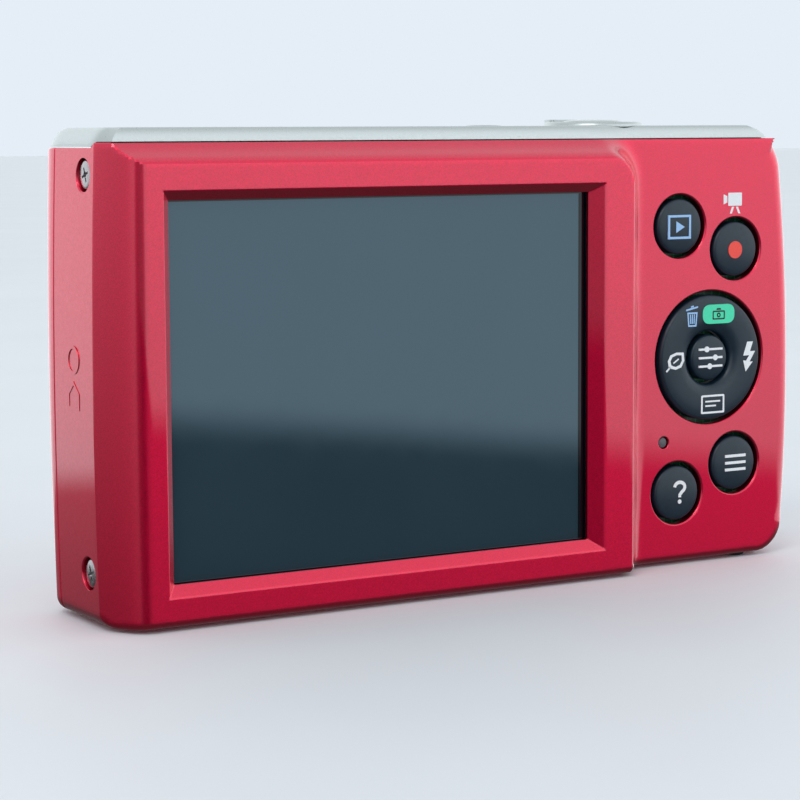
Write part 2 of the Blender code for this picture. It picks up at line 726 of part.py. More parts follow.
def lens_face():
    """Blank face ring with the barrier's aperture, and the two barrier blades behind it."""
    front = INNER_BARREL[2] + 0.1
    ring = finish("lens_face_ring", cylinder("Y", (LENS_X, LENS_Z), 11.4, front, front + 0.7, 40), BLACK,
                  (LENS_X, front, LENS_Z))
    aperture = rounded_rectangle((LENS_X - 6.0, LENS_X + 6.0), (LENS_Z - 4.1, LENS_Z + 4.1), 2.6)
    cut(ring, prism(aperture, "Y", front - 1.0, front + 2.0))
    blade = [(6.6, 0.15), (6.6, 3.1), (5.6, 4.5), (-5.6, 4.5), (-6.6, 3.1), (-6.6, 0.15)]
    for name, sign in (("barrier_blade_upper", 1.0), ("barrier_blade_lower", -1.0)):
        outline = [(LENS_X + a, LENS_Z + sign * b) for a, b in blade]
        finish(name, prism(outline, "Y", -8.85, -8.4), BLACK, (LENS_X, -8.6, LENS_Z))


def lens_optics():
    centre = (LENS_X, LENS_Z)
    crown = [(7.0 * math.sin(math.radians(a)), -5.4 - 2.4 * math.cos(math.radians(a)))
             for a in (0, 22, 45, 68)]
    profile = [(0.0, crown[0][1])] + crown[1:] + [(7.0, -5.2), (7.0, -4.4), (3.5, -4.9), (0.0, -5.0)]
    finish("front_lens", lathe(profile, "Y", centre, 28), CLEAR)
    profile = [(7.3, -6.2), (11.2, -6.2), (11.2, -3.6), (7.3, -3.6)]
    finish("lens_holder", lathe(profile, "Y", centre, 28), BLACK)
    profile = [(2.2, -3.2), (10.8, -3.2), (10.8, -1.9), (2.2, -1.9)]
    finish("shutter_unit", lathe(profile, "Y", centre, 28), BLACK)
    profile = [(0.0, -1.1), (2.2, -0.95), (3.6, -0.5), (3.6, 0.3), (0.0, 0.3)]
    finish("focus_lens", lathe(profile, "Y", centre, 24), CLEAR)
    profile = [(3.9, -0.9), (9.5, -0.9), (9.5, 0.1), (3.9, 0.1)]
    finish("focus_carrier", lathe(profile, "Y", centre, 24), BLACK)


def gear_outline(cx, cz, teeth, phase, turn_range=None):
    """Outline of a spur gear: four points a tooth, plain arc outside turn_range."""
    pitch = GEAR_MODULE * teeth / 2.0
    root = pitch - 0.30
    tip = pitch + 0.22
    step = 2.0 * math.pi / teeth
    points = []
    for k in range(teeth):
        middle = phase + k * step
        if turn_range and abs(math.remainder(middle - turn_range[0], 2 * math.pi)) > turn_range[1]:
            if k % 4 == 0:
                points.append((cx + root * math.cos(middle), cz + root * math.sin(middle)))
            continue
        for offset, radius in ((-0.26, root), (-0.13, tip), (0.13, tip), (0.26, root)):
            angle = middle + offset * step
            points.append((cx + radius * math.cos(angle), cz + radius * math.sin(angle)))
    return points


def gear_centres():
    """Centres of the idler and the pinion on a line out from the lens axis."""
    idler_distance = GEAR_MODULE * (CAM_TEETH + IDLER_TEETH) / 2.0
    pinion_distance = idler_distance + GEAR_MODULE * (IDLER_TEETH + PINION_TEETH) / 2.0
    cos_angle = math.cos(GEAR_ANGLE)
    sin_angle = math.sin(GEAR_ANGLE)
    idler = (LENS_X + idler_distance * cos_angle, LENS_Z + idler_distance * sin_angle)
    pinion = (LENS_X + pinion_distance * cos_angle, LENS_Z + pinion_distance * sin_angle)
    return idler, pinion


def zoom_drive():
    """Cam ring with a toothed sector, idler and motor pinion, in mesh at rest."""
    idler, pinion = gear_centres()
    cam_step = 2.0 * math.pi / CAM_TEETH
    idler_step = 2.0 * math.pi / IDLER_TEETH
    toothed = gear_outline(LENS_X, LENS_Z, CAM_TEETH, GEAR_ANGLE, (GEAR_ANGLE, 10.2 * cam_step))
    cam = finish("cam_ring", prism(toothed, "Y", 0.5, 1.5), BRASS, (LENS_X, 0.0, LENS_Z))
    join(cam, cylinder("Y", (LENS_X, LENS_Z), 17.6, -6.6, 1.0, 48))
    cut(cam, cylinder("Y", (LENS_X, LENS_Z), 16.95, -8.0, 3.0, 48))
    wheel = gear_outline(*idler, IDLER_TEETH, GEAR_ANGLE + math.pi + idler_step / 2.0)
    wheel = finish("idler_gear", prism(wheel, "Y", 0.6, 1.4), WHITE, (idler[0], 1.0, idler[1]))
    cut(wheel, cylinder("Y", idler, 0.7, 0.0, 3.0, 12))
    outline = gear_outline(*pinion, PINION_TEETH, GEAR_ANGLE + math.pi)
    finish("motor_pinion", prism(outline, "Y", 0.6, 1.4), BRASS, (pinion[0], 1.0, pinion[1]))
    profile = [(0.0, -7.0), (2.6, -7.0), (2.6, 0.1), (0.0, 0.1)]
    finish("zoom_motor", lathe(profile, "Y", pinion, 20), STEEL)


def lens_housing():
    """Outer cup of the lens unit with a window for the sensor and room for the idler."""
    centre = (LENS_X, LENS_Z)
    idler, _ = gear_centres()
    housing = finish("lens_housing", lathe([(0.0, 3.2), (19.2, 3.2), (19.2, -7.0), (18.5, -7.0),
                                            (18.5, 2.2), (0.0, 2.2)], "Y", centre, 48), BLACK)
    tools = box((LENS_X - 5.0, LENS_X + 5.0), (0.0, 5.0), (LENS_Z - 4.2, LENS_Z + 4.2))
    cylinder("Y", idler, 3.0, 0.2, 1.9, 20, tools)
    cut(housing, tools)
    finish("idler_pin", cylinder("Y", idler, 0.4, -0.6, 1.9, 12), STEEL)
    finish("image_sensor", box((LENS_X - 4.4, LENS_X + 4.4), (2.3, 3.3), (LENS_Z - 3.6, LENS_Z + 3.6)), BLACK)
    finish("sensor_plate", box((LENS_X - 9.0, LENS_X + 9.0), (3.6, 4.5), (LENS_Z - 7.0, LENS_Z + 7.0)), STEEL)


# ---------------------------------------------------------------- flash and front trim

FLASH_OPENING = ((-25.5, -12.2), (43.2, 49.0))
FOCUS_LAMP = (-31.5, 46.0)


def front_trim():
    low_x, high_x = FLASH_OPENING[0]
    low_z, high_z = FLASH_OPENING[1]
    outline = rounded_rectangle((low_x + GAP, high_x - GAP), (low_z + GAP, high_z - GAP), 0.9)
    finish("flash_window", prism(outline, "Y", -8.55, -7.3), CLEAR)
    trough = [(low_z + 0.4, -7.0), (high_z - 0.4, -7.0), (high_z - 1.6, -4.2), (low_z + 1.6, -4.2)]
    bm = prism([(y, z) for z, y in trough], "X", low_x + 0.6, high_x - 0.6)
    reflector = finish("flash_reflector", bm, STEEL)
    hollow = [(low_z + 0.9, -7.6), (high_z - 0.9, -7.6), (high_z - 2.0, -4.8), (low_z + 2.0, -4.8)]
    cut(reflector, prism([(y, z) for z, y in hollow], "X", low_x + 1.0, high_x - 1.0))
    finish("flash_tube", cylinder("X", (-5.9, (low_z + high_z) / 2.0), 0.65, low_x + 1.4, high_x - 1.4, 12),
           CLEAR)
    profile = [(0.0, -8.75), (1.0, -8.7), (1.6, -8.5), (1.6, -7.0), (0.0, -7.0)]
    finish("focus_lamp", lathe(profile, "Y", FOCUS_LAMP, 20), CLEAR)


# ---------------------------------------------------------------- controls

def panel_button(name, place_and_hole, back=5.35):
    """Round key with a softly crowned top, standing just proud of the panel."""
    x, z, hole = place_and_hole
    radius = hole - GAP
    profile = [(0.0, back), (radius, back), (radius, PANEL_Y - 0.25), (radius - 0.12, PANEL_Y),
               (radius - 0.45, PANEL_Y + 0.14), (radius * 0.5, PANEL_Y + 0.22), (0.0, PANEL_Y + 0.25)]
    finish(name, lathe(profile, "Y", (x, z), 28), DARK_PLASTIC, (x, PANEL_Y, z))


def panel_controls():
    for name, spot in (("playback_button", PLAYBACK), ("movie_button", MOVIE),
                       ("help_button", HELP), ("menu_button", MENU)):
        panel_button(name, spot)
    x, z, hole = PAD
    outer = hole - GAP
    profile = [(SET_HOLE, 6.25), (outer, 6.25), (outer, PANEL_Y - 0.2), (outer - 0.15, PANEL_Y + 0.1),
               (outer - 0.6, PANEL_Y + 0.3), (SET_HOLE + 0.7, PANEL_Y + 0.3),
               (SET_HOLE + 0.15, PANEL_Y + 0.15), (SET_HOLE, PANEL_Y - 0.1)]
    finish("direction_pad", lathe(profile, "Y", (x, z), 40), DARK_PLASTIC, (x, 5.8, z))
    profile = [(SET_HOLE, 5.3), (6.6, 5.3), (6.6, 5.85), (SET_HOLE, 5.85)]
    finish("direction_pad_carrier", lathe(profile, "Y", (x, z), 28), GREY, (x, 5.6, z))
    panel_button("set_button", (x, z, SET_HOLE))
    x, z, hole = STATUS_LAMP
    profile = [(0.0, 5.3), (hole - GAP, 5.3), (hole - GAP, 7.1), (0.0, 7.2)]
    finish("status_lamp", lathe(profile, "Y", (x, z), 12), GREY)


def top_controls():
    profile = [(0.0, 50.4), (1.2, 50.4), (1.2, 53.2), (3.6, 53.2), (3.6, 54.25), (3.4, 54.45),
               (2.2, 54.56), (0.0, 54.6)]
    finish("shutter_button", lathe(profile, "Z", SHUTTER, 28), SILVER, (*SHUTTER, 54.3))
    profile = [(3.9, 50.9), (4.35, 50.9), (4.35, 53.3), (6.0, 53.3), (6.05, 54.0), (5.8, 54.25),
               (4.2, 54.25), (3.9, 54.0)]
    lever = finish("zoom_lever", lathe(profile, "Z", SHUTTER, 40), SILVER, (*SHUTTER, 53.8))
    tab = [(SHUTTER[0] + 2.6, SHUTTER[1] - 4.9), (SHUTTER[0] - 2.6, SHUTTER[1] - 4.9),
           (SHUTTER[0] - 2.2, SHUTTER[1] - 7.6), (SHUTTER[0] - 1.2, SHUTTER[1] - 8.1),
           (SHUTTER[0] + 1.2, SHUTTER[1] - 8.1), (SHUTTER[0] + 2.2, SHUTTER[1] - 7.6)]
    join(lever, prism(tab, "Z", 54.1, 54.6))
    profile = [(0.0, 50.1), (0.9, 50.1), (0.9, 52.7), (2.2, 52.7), (2.2, 53.7), (2.0, 53.9),
               (0.0, 53.92)]
    finish("power_button", lathe(profile, "Z", POWER, 20), SILVER, (*POWER, 53.8))


def build():
    for obj in list(bpy.data.objects):
        bpy.data.objects.remove(obj)
    rear_cover()
    front_cover()
    top_cover()
    chassis_frame()
    screws()
    tripod_socket()
    boards()
    battery_bay()
    battery_door()
    terminal_cover()
    strap_bar()
    display()
    lens_barrels()
    lens_face()
    lens_optics()
    lens_housing()
    zoom_drive()
    front_trim()
    panel_controls()
    top_controls()


build()
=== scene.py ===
"""Looks of the compact digital camera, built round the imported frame.

Sizes below are millimetres unless a name says otherwise. Meshes are written in metres. Places on
the back are given as seen from behind: u is the distance right of the centre line, so x is -u.
"""
import json
import math

import bmesh
import bpy
from mathutils import Matrix, Vector
from mathutils.kdtree import KDTree

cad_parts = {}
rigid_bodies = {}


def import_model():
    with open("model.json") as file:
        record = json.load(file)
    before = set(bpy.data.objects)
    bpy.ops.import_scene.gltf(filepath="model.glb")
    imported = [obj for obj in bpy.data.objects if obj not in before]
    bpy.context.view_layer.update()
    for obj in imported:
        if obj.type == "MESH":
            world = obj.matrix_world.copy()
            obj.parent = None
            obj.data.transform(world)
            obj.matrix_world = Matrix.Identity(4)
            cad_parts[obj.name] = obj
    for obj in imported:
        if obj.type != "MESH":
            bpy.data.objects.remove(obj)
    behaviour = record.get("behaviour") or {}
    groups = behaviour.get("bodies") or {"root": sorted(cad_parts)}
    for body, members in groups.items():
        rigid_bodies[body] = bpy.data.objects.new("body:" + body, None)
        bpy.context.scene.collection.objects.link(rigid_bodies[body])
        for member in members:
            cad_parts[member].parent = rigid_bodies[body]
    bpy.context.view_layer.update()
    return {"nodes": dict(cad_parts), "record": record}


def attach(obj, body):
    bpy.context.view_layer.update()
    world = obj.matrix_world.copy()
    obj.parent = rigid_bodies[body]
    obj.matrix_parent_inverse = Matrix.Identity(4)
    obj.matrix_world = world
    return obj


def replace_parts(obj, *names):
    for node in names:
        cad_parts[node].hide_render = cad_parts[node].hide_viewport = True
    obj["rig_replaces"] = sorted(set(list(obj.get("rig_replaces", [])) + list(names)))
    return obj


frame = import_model()

MM = 0.001
NOISE_SPAN = (0.3, 0.7)

# Case
HALF_WIDTH = 47.5
BODY_TOP = 54.0
TOP_COVER_TOP = 53.8
CASE_BOTTOM = 0.45
CASE_MIDDLE_Z = 22.0
DISPLAY_FACE_Y = 11.05
PANEL_Y = 7.45
FRONT_FACE_Y = -8.6
SEAM_Y = -4.3
SEAM_GAP = 0.12
SEAM_ROUND = 0.12
WALL = 1.2
COVER_TOP = 51.65
LIP_TOP = 52.2
CAP_BOTTOM = 51.75
LIP_START_Y = 5.3
LIP_RUN = 0.9
GRIP_LIP_SHIFT = 1.1

# Raised display frame
FRAME_LEFT = 44.0
FRAME_RIGHT = 20.2
FRAME_TOP = 50.3
FRAME_CORNER = 3.5
COVE_WIDTH = 3.9
COVE_DEPTH = DISPLAY_FACE_Y - PANEL_Y
LEFT_BEVEL_DEPTH = 4.8
LEFT_RIDGE_SOFTNESS = 1.0
COVE_SOFTNESS = 0.5
PANEL_EDGE_RADIUS = 2.4
BASE_EDGE_RADIUS = 0.85
OPENING_DEPTH = 0.8
LIP_BACK_Y = 9.9
PANEL_BACK_Y = 6.25
TOP_EDGE_RADIUS = 0.22
SIDE_EDGE_RADIUS = 0.12

# Left, right, bottom and top of the display's pocket and opening, measured from the centre and base
POCKET = (42.3, 16.4, 3.0, 48.3)
OPENING = (40.3, 13.8, 5.0, 46.1)

# Where the rows and columns over the back change their spacing
LOW_ROWS_END = 5.2
HIGH_ROWS_START = 46.4
RIDGE_COLUMNS_END = -42.4
COVE_COLUMNS = (15.6, 25.2)
OUTLINE_SAMPLES = 12

# Controls: (x, z, hole radius) on the back, (x, y) on the top
PLAYBACK = (-29.4, 41.6, 3.85)
MOVIE = (-38.0, 38.65, 3.85)
PAD = (-34.1, 25.4, 8.2)
HELP = (-29.2, 8.95, 3.85)
MENU = (-38.05, 12.05, 3.85)
STATUS_LAMP = (-27.15, 15.3, 0.75)
SET_HOLE = 3.3
KEY_HOLE_FLOOR = 5.9
BUTTON_GAP = 0.5
BUTTON_CROWN = 0.25
KEY_TOP = PANEL_Y - 0.01 + BUTTON_CROWN
PAD_TOP = PANEL_Y + 0.3
HOLE_RIM = 0.3
SHUTTER = (-21.3, 0.6)
POWER = (-5.4, 0.8)

# Lens and front
LENS_X = 7.0
LENS_Z = 26.0
LENS_HOLE = 17.5
LENS_RING_Y = -11.05
FLASH_OPENING = ((-25.5, -12.2), (43.2, 49.0))
FOCUS_LAMP = (-31.5, 46.0)
MICROPHONE_HOLES = [(-33.0, 40.0), (-31.4, 40.0), (-29.8, 40.0)]

# Sides and base
SIDE_SCREWS = [(3.45, 48.8), (3.65, 5.9)]
SIDE_SCREW_FACES = (46.75, 47.05)
SIDE_SCREW_RADIUS = 1.6
SIDE_SCREW_HOLE = 1.8
BASE_SCREW = (34.0, 0.6)
BASE_SCREW_RADIUS = 1.42
BASE_SCREW_HOLE = 1.65
TRIPOD = (20.0, 0.7)
TRIPOD_HOLE = 4.15
STRAP_SLOT = ((-1.9, 3.1), (10.2, 15.6))
STRAP_POST = (-46.6, 0.6)
TOP_HATCH_X = (-38.0, 38.0)
GRIP_END_X = -41.0
CLEAR = 60.0
DOOR_X = (-44.6, -15.2)
DOOR_Y = (-7.0, 2.9)
DOOR_THICKNESS = 1.6
DOOR_GAP = 0.15
TERMINAL_Y = (-2.2, 3.4)
TERMINAL_Z = (39.0, 47.0)
FEET = [(-40.0, 5.4), (40.0, 5.4), (-10.0, -5.4), (40.0, -5.4)]

# Corner radii: top left, top right, bottom right, bottom left, seen from behind
CASE_CORNERS = (0.15, 0.15, 4.5, 1.4)
FACE_CORNERS = (0.15, 0.15, 2.8, 1.4)
INNER_CORNERS = (0.15, 0.15, 3.2, 1.0)
SHARP = (0.15, 0.15, 0.15, 0.15)

# Points along each side of a cover outline
TOP_STEPS = 44
RIGHT_STEPS = 36
BASE_STEPS = 40
LEFT_STEPS = 28
CORNER_STEPS = 8
COVER_SHARP_ANGLE = 10.0
ROUND = 96

# Surround: directions are bearings in degrees from +Y to +X, heights are sines of an elevation
BRIGHTNESS = 1.32
HORIZON = -0.1307
HORIZON_TILT = (-0.0556, -0.0418, 1.0)
HORIZON_EDGE = 0.01
DARK_BELOW = 0.085
SOFT_HORIZON = 0.22
SOFT_SECTOR = (75.0, 30.0, 60.0)
DIM_SECTOR = (22.0, 14.0, 30.0)
DIM_LEVEL = 0.25
SIDE_SECTOR = (112.0, 10.0, 60.0)
SIDE_LEVEL = 0.62
OVERHEAD = (0.25, 0.85)
OVERHEAD_LEVEL = 0.62

# Viewpoint, in metres and degrees
EYE = (0.14925, 0.24017, 0.05284)
EYE_BACK = (0.50954, 0.85340, 0.10991)
EYE_BEARING = 30.84
EYE_ROLL = -0.32
EYE_LENS = 107.9


# ---- materials ----

def add_node(tree, kind, inputs, output, **settings):
    """New node with numbers or links on its inputs; gives one of its outputs."""
    made = tree.nodes.new(kind)
    for name, value in settings.items():
        setattr(made, name, value)
    for name, value in inputs.items():
        if isinstance(value, bpy.types.NodeSocket):
            tree.links.new(value, made.inputs[name])
        else:
            made.inputs[name].default_value = value
    return made.outputs[output]


class Finish:
    """A procedural material: mottled colour, uneven roughness and a fine bump from object noise."""

    def __init__(self, name, color, roughness, metallic=0.0):
        self.material = bpy.data.materials.new(name)
        self.material.use_nodes = True
        self.tree = self.material.node_tree
        self.shader = self.tree.nodes["Principled BSDF"]
        self.color = color
        self.roughness = roughness
        self.set(Metallic=metallic)
        self.coordinates = add_node(self.tree, "ShaderNodeTexCoord", {}, "Object")

    def set(self, **values):
        """Uniform values of the shader, with underscores for the spaces in their names."""
        for name, value in values.items():
            self.shader.inputs[name.replace("_", " ")].default_value = value

    def drive(self, name, source):
        self.tree.links.new(source, self.shader.inputs[name])

    def noise(self, scale, detail=3.0, stretch=None):
        """Noise value with its features about 1 / scale metres across."""
        source = self.coordinates
        if stretch:
            source = add_node(self.tree, "ShaderNodeMapping", {"Vector": source, "Scale": stretch}, "Vector")
        return add_node(self.tree, "ShaderNodeTexNoise",
                        {"Vector": source, "Scale": scale, "Detail": detail}, "Fac")

    def mottle(self, source, amount):
        """Vary the colour a little either side of its mean."""
        ramp = self.tree.nodes.new("ShaderNodeValToRGB")
        for element, spot, factor in zip(ramp.color_ramp.elements, NOISE_SPAN, (1.0 - amount, 1.0 + amount)):
            element.position = spot
            element.color = (*[min(1.0, value * factor) for value in self.color], 1.0)
        self.tree.links.new(source, ramp.inputs["Fac"])
        self.drive("Base Color", ramp.outputs["Color"])

    def uneven(self, source, amount):
        """Vary the roughness either side of its mean."""
        low, high = NOISE_SPAN
        limits = {"Value": source, "From Min": low, "From Max": high,
                  "To Min": self.roughness * (1.0 - amount), "To Max": self.roughness * (1.0 + amount)}
        self.drive("Roughness", add_node(self.tree, "ShaderNodeMapRange", limits, "Result"))

    def bump(self, source, height, strength=1.0):
        """Bump of a height in millimetres."""
        shape = {"Height": source, "Distance": height * MM, "Strength": strength}
        self.drive("Normal", add_node(self.tree, "ShaderNodeBump", shape, "Normal"))


def metal(name, color, roughness, grain=9000.0, stretch=None, height=0.002):
    made = Finish(name, color, roughness, 1.0)
    made.mottle(made.noise(grain, 2.0, stretch), 0.06)
    made.uneven(made.noise(grain * 0.4, 3.0, stretch), 0.22)
    made.bump(made.noise(grain, 2.0, stretch), height, 0.5)
    return made.material


def plastic(name, color, roughness, grain=5000.0, height=0.004, specular=0.5):
    made = Finish(name, color, roughness)
    made.mottle(made.noise(grain * 0.2, 4.0), 0.12)
    made.uneven(made.noise(grain * 0.5), 0.15)
    made.bump(made.noise(grain, 2.0), height, 0.6)
    made.shader.inputs["Specular IOR Level"].default_value = specular
    return made.material


def red_paint():
    """Metallic flakes under a thick clear coat."""
    made = Finish("red_paint", (0.84, 0.005, 0.06), 0.4, 1.0)
    flakes = made.noise(7000.0, 2.0)
    made.mottle(flakes, 0.12)
    made.uneven(made.noise(2500.0), 0.12)
    made.bump(flakes, 0.003, 0.45)
    made.set(Coat_Weight=1.0, Coat_Roughness=0.025, Coat_IOR=1.6)
    return made.material


def display_glass():
    """Anti-reflection coated pane over an unlit panel."""
    made = Finish("display_glass", (0.017, 0.036, 0.05), 0.035)
    made.mottle(made.noise(60.0, 2.0), 0.05)
    made.uneven(made.noise(400.0), 0.3)
    made.bump(made.noise(250.0, 1.0), 0.001, 0.2)
    made.set(IOR=1.85, Specular_Tint=(0.62, 0.86, 1.0, 1.0))
    return made.material


def clear_glass(name="clear_glass", tint=(0.93, 0.96, 0.97)):
    made = Finish(name, tint, 0.03)
    made.mottle(made.noise(300.0, 2.0), 0.03)
    made.uneven(made.noise(900.0), 0.4)
    made.set(Transmission_Weight=0.9, IOR=1.5, Coat_Weight=0.5, Coat_Tint=(0.75, 0.7, 1.0, 1.0))
    return made.material


def circuit_board():
    """Solder mask with faint tracks."""
    made = Finish("circuit_board", (0.015, 0.13, 0.06), 0.35)
    pattern = {"Vector": made.coordinates, "Scale": 420.0, "Mortar Size": 0.04,
               "Color1": (0.012, 0.12, 0.05, 1.0), "Color2": (0.015, 0.14, 0.06, 1.0),
               "Mortar": (0.05, 0.3, 0.14, 1.0)}
    tracks = add_node(made.tree, "ShaderNodeTexBrick", pattern, "Color")
    made.drive("Base Color", tracks)
    made.uneven(made.noise(2000.0), 0.2)
    made.bump(tracks.node.outputs["Fac"], 0.02, 0.4)
    return made.material


def print_ink(name, color):
    """Screen-printed ink on a key or cover."""
    made = Finish(name, color, 0.42)
    made.mottle(made.noise(6000.0, 3.0), 0.05)
    made.uneven(made.noise(3000.0), 0.2)
    made.bump(made.noise(9000.0, 2.0), 0.002, 0.4)
    return made.material


BRUSHED = (1.0, 1.0, 14.0)
FINISHES = {
    "red_paint": red_paint(),
    "silver_cover": metal("silver_cover", (0.6, 0.64, 0.635), 0.34, 14000.0, None, 0.0008),
    "barrel_metal": metal("barrel_metal", (0.6, 0.62, 0.63), 0.28, 9000.0),
    "bright_steel": metal("bright_steel", (0.5, 0.48, 0.49), 0.24, 6000.0),
    "sheet_steel": metal("sheet_steel", (0.5, 0.5, 0.5), 0.38, 4000.0, BRUSHED, 0.004),
    "brass": metal("brass", (0.72, 0.5, 0.22), 0.3, 5000.0),
    "button_plastic": plastic("button_plastic", (0.006, 0.019, 0.034), 0.36, 9000.0, 0.003, 0.55),
    "black_plastic": plastic("black_plastic", (0.012, 0.012, 0.013), 0.5),
    "display_glass": display_glass(),
    "clear_glass": clear_glass(),
    "circuit_board": circuit_board(),
    "grey_plastic": plastic("grey_plastic", (0.16, 0.16, 0.17), 0.5),
    "dark_can": plastic("dark_can", (0.015, 0.015, 0.022), 0.25, 2000.0, 0.002),
    "white_plastic": plastic("white_plastic", (0.75, 0.75, 0.72), 0.45),
}
WHITE_INK = print_ink("white_ink", (0.82, 0.84, 0.86))
BLUE_INK = print_ink("blue_ink", (0.33, 0.55, 0.86))
GREEN_INK = print_ink("green_ink", (0.06, 0.72, 0.42))
RED_INK = print_ink("red_ink", (0.9, 0.07, 0.05))
# Black for printed marks and for the display's border; on that border it is also painted shade of the
# opening's walls.
BLACK_PRINT_AND_SHADE = plastic("black_print_and_shade", (0.002, 0.003, 0.005), 0.06, 3000.0, 0.001, 0.4)
LAMP_LENS = plastic("lamp_lens", (0.1, 0.1, 0.11), 0.3)
RUBBER = plastic("rubber", (0.01, 0.01, 0.011), 0.7, 3000.0, 0.01)
LENS_GLASS = clear_glass("lens_glass", (0.8, 0.84, 0.95))


# ---- mesh helpers ----

def place(axis, first, second, along):
    """World point from two cross coordinates and a distance along an axis."""
    if axis == "X":
        return (along, first, second)
    if axis == "Y":
        return (first, along, second)
    return (first, second, along)


def band(bm, row, following):
    """Faces between two closed rows with the same number of points."""
    for i in range(len(row)):
        j = (i + 1) % len(row)
        bm.faces.new((row[i], row[j], following[j], following[i]))


def prism(outline, axis, low, high, bm=None):
    """Closed solid from a flat outline pulled along an axis."""
    bm = bm or bmesh.new()
    ends = [[bm.verts.new(place(axis, a, b, h)) for a, b in outline] for h in (low, high)]
    bm.faces.new(ends[0])
    bm.faces.new(reversed(ends[1]))
    band(bm, *ends)
    return bm


def ring_prism(outer, inner, axis, low, high, bm=None):
    """Closed frame between two outlines with the same number of points."""
    bm = bm or bmesh.new()
    rows = [[bm.verts.new(place(axis, a, b, h)) for a, b in outline]
            for outline, h in ((outer, low), (outer, high), (inner, high), (inner, low))]
    for row, following in zip(rows, rows[1:] + rows[:1]):
        band(bm, row, following)
    return bm


def box(x, y, z, bm=None):
    """Block from three (low, high) pairs."""
    outline = [(x[0], y[0]), (x[1], y[0]), (x[1], y[1]), (x[0], y[1])]
    return prism(outline, "Z", z[0], z[1], bm)


def circle(cx, cy, radius, steps=ROUND):
    return [(cx + radius * math.cos(2 * math.pi * i / steps),
             cy + radius * math.sin(2 * math.pi * i / steps)) for i in range(steps)]


def turn(a, b, inward, onward, steps, degrees=90.0, first=1):
    """Points round a corner that starts at (a, b), drawing in along a and going on along b."""
    angles = [math.radians(degrees * k / steps) for k in range(first, steps + 1)]
    return [(a + inward * (1.0 - math.cos(angle)), b + onward * math.sin(angle)) for angle in angles]


def rectangle(a, b):
    return [(a[0], b[0]), (a[1], b[0]), (a[1], b[1]), (a[0], b[1])]


def soften(points, radius, steps=5):
    """Closed outline with each corner turned into a short curve; corners on the axis stay."""
    made = []
    count = len(points)
    for i, corner in enumerate(points):
        before = Vector(points[i - 1]) - Vector(corner)
        after = Vector(points[(i + 1) % count]) - Vector(corner)
        if corner[0] == 0.0 or before.length == 0.0 or after.length == 0.0:
            made.append(tuple(corner))
            continue
        start = Vector(corner) + before.normalized() * min(radius, 0.45 * before.length)
        end = Vector(corner) + after.normalized() * min(radius, 0.45 * after.length)
        for k in range(steps + 1):
            t = k / steps
            point = start * (1 - t) ** 2 + Vector(corner) * (2 * t * (1 - t)) + end * t ** 2
            made.append(tuple(point))
    return made


def lathe(profile, axis, centre, steps=ROUND, bm=None):
    """Closed round solid from a closed profile of (radius, position along the axis)."""
    bm = bm or bmesh.new()
    rings = []
    for radius, along in profile:
        if radius == 0.0:
            rings.append([bm.verts.new(place(axis, centre[0], centre[1], along))] * steps)
        else:
            rings.append([bm.verts.new(place(axis, a, b, along))
                          for a, b in circle(centre[0], centre[1], radius, steps)])
    for k, ring in enumerate(rings):
        following = rings[(k + 1) % len(rings)]
        for i in range(steps):
            j = (i + 1) % steps
            corners = dict.fromkeys((ring[i], ring[j], following[j], following[i]))
            if len(corners) > 2:
                bm.faces.new(corners)
    return bm


def loft(loops):
    """Closed ring-shaped solid through loops of points, the last joined to the first."""
    bm = bmesh.new()
    rows = [[bm.verts.new(point) for point in points] for points in loops]
    for row, following in zip(rows, rows[1:] + rows[:1]):
        band(bm, row, following)
    return bm


def skin(rows):
    """Closed solid through rows of points with a flat cap at each end."""
    bm = bmesh.new()
    made = [[bm.verts.new(point) for point in row] for row in rows]
    bm.faces.new(reversed(made[0]))
    bm.faces.new(made[-1])
    for row, following in zip(made, made[1:]):
        band(bm, row, following)
    return bm


def to_mesh(name, bm):
    """Mesh in metres from a bmesh in millimetres."""
    bmesh.ops.recalc_face_normals(bm, faces=bm.faces)
    for vertex in bm.verts:
        vertex.co = vertex.co * MM
    mesh = bpy.data.meshes.new(name)
    bm.to_mesh(mesh)
    bm.free()
    return mesh


def smooth(mesh, angle=32.0):
    mesh.shade_smooth()
    mesh.set_sharp_from_angle(angle=math.radians(angle))


def shape_with(obj, bm, operation):
    """Boolean the closed bodies of a bmesh in millimetres into an object."""
    tool = bpy.data.objects.new("tool", to_mesh("tool", bm))
    bpy.context.scene.collection.objects.link(tool)
    modifier = obj.modifiers.new("shape", "BOOLEAN")
    modifier.operation = operation
    modifier.solver = "EXACT"
    modifier.object = tool
    depsgraph = bpy.context.evaluated_depsgraph_get()
    shaped = bpy.data.meshes.new_from_object(obj.evaluated_get(depsgraph))
    obj.modifiers.remove(modifier)
    obj.data = shaped
    bpy.data.objects.remove(tool)
    weld(obj.data)


def weld(mesh):
    """Close hairline seams and drop slivers that a cut leaves."""
    bm = bmesh.new()
    bm.from_mesh(mesh)
    bmesh.ops.remove_doubles(bm, verts=bm.verts, dist=1e-6)
    bmesh.ops.dissolve_degenerate(bm, edges=bm.edges, dist=1e-6)
    bm.to_mesh(mesh)
    bm.free()
    smooth(mesh)


def cut(obj, bm):
    shape_with(obj, bm, "DIFFERENCE")


def join(obj, bm):
    shape_with(obj, bm, "UNION")


def piece(name, bm, slot, body="camera_body", replaces=(), material=None):
    """A new piece of the shown object, on a body and standing for some CAD nodes."""
    mesh = to_mesh(name, bm)
    smooth(mesh)
    mesh.materials.append(material or FINISHES[slot])
    obj = bpy.data.objects.new(name, mesh)
    bpy.context.scene.collection.objects.link(obj)
    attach(obj, body)
    if replaces:
        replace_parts(obj, *replaces)
    return obj


def even_shading(obj):
    """Let the large flat faces of a cut shell set the shading near its holes."""
    modifier = obj.modifiers.new("weighted_normals", "WEIGHTED_NORMAL")
    modifier.keep_sharp = True
    modifier.weight = 80


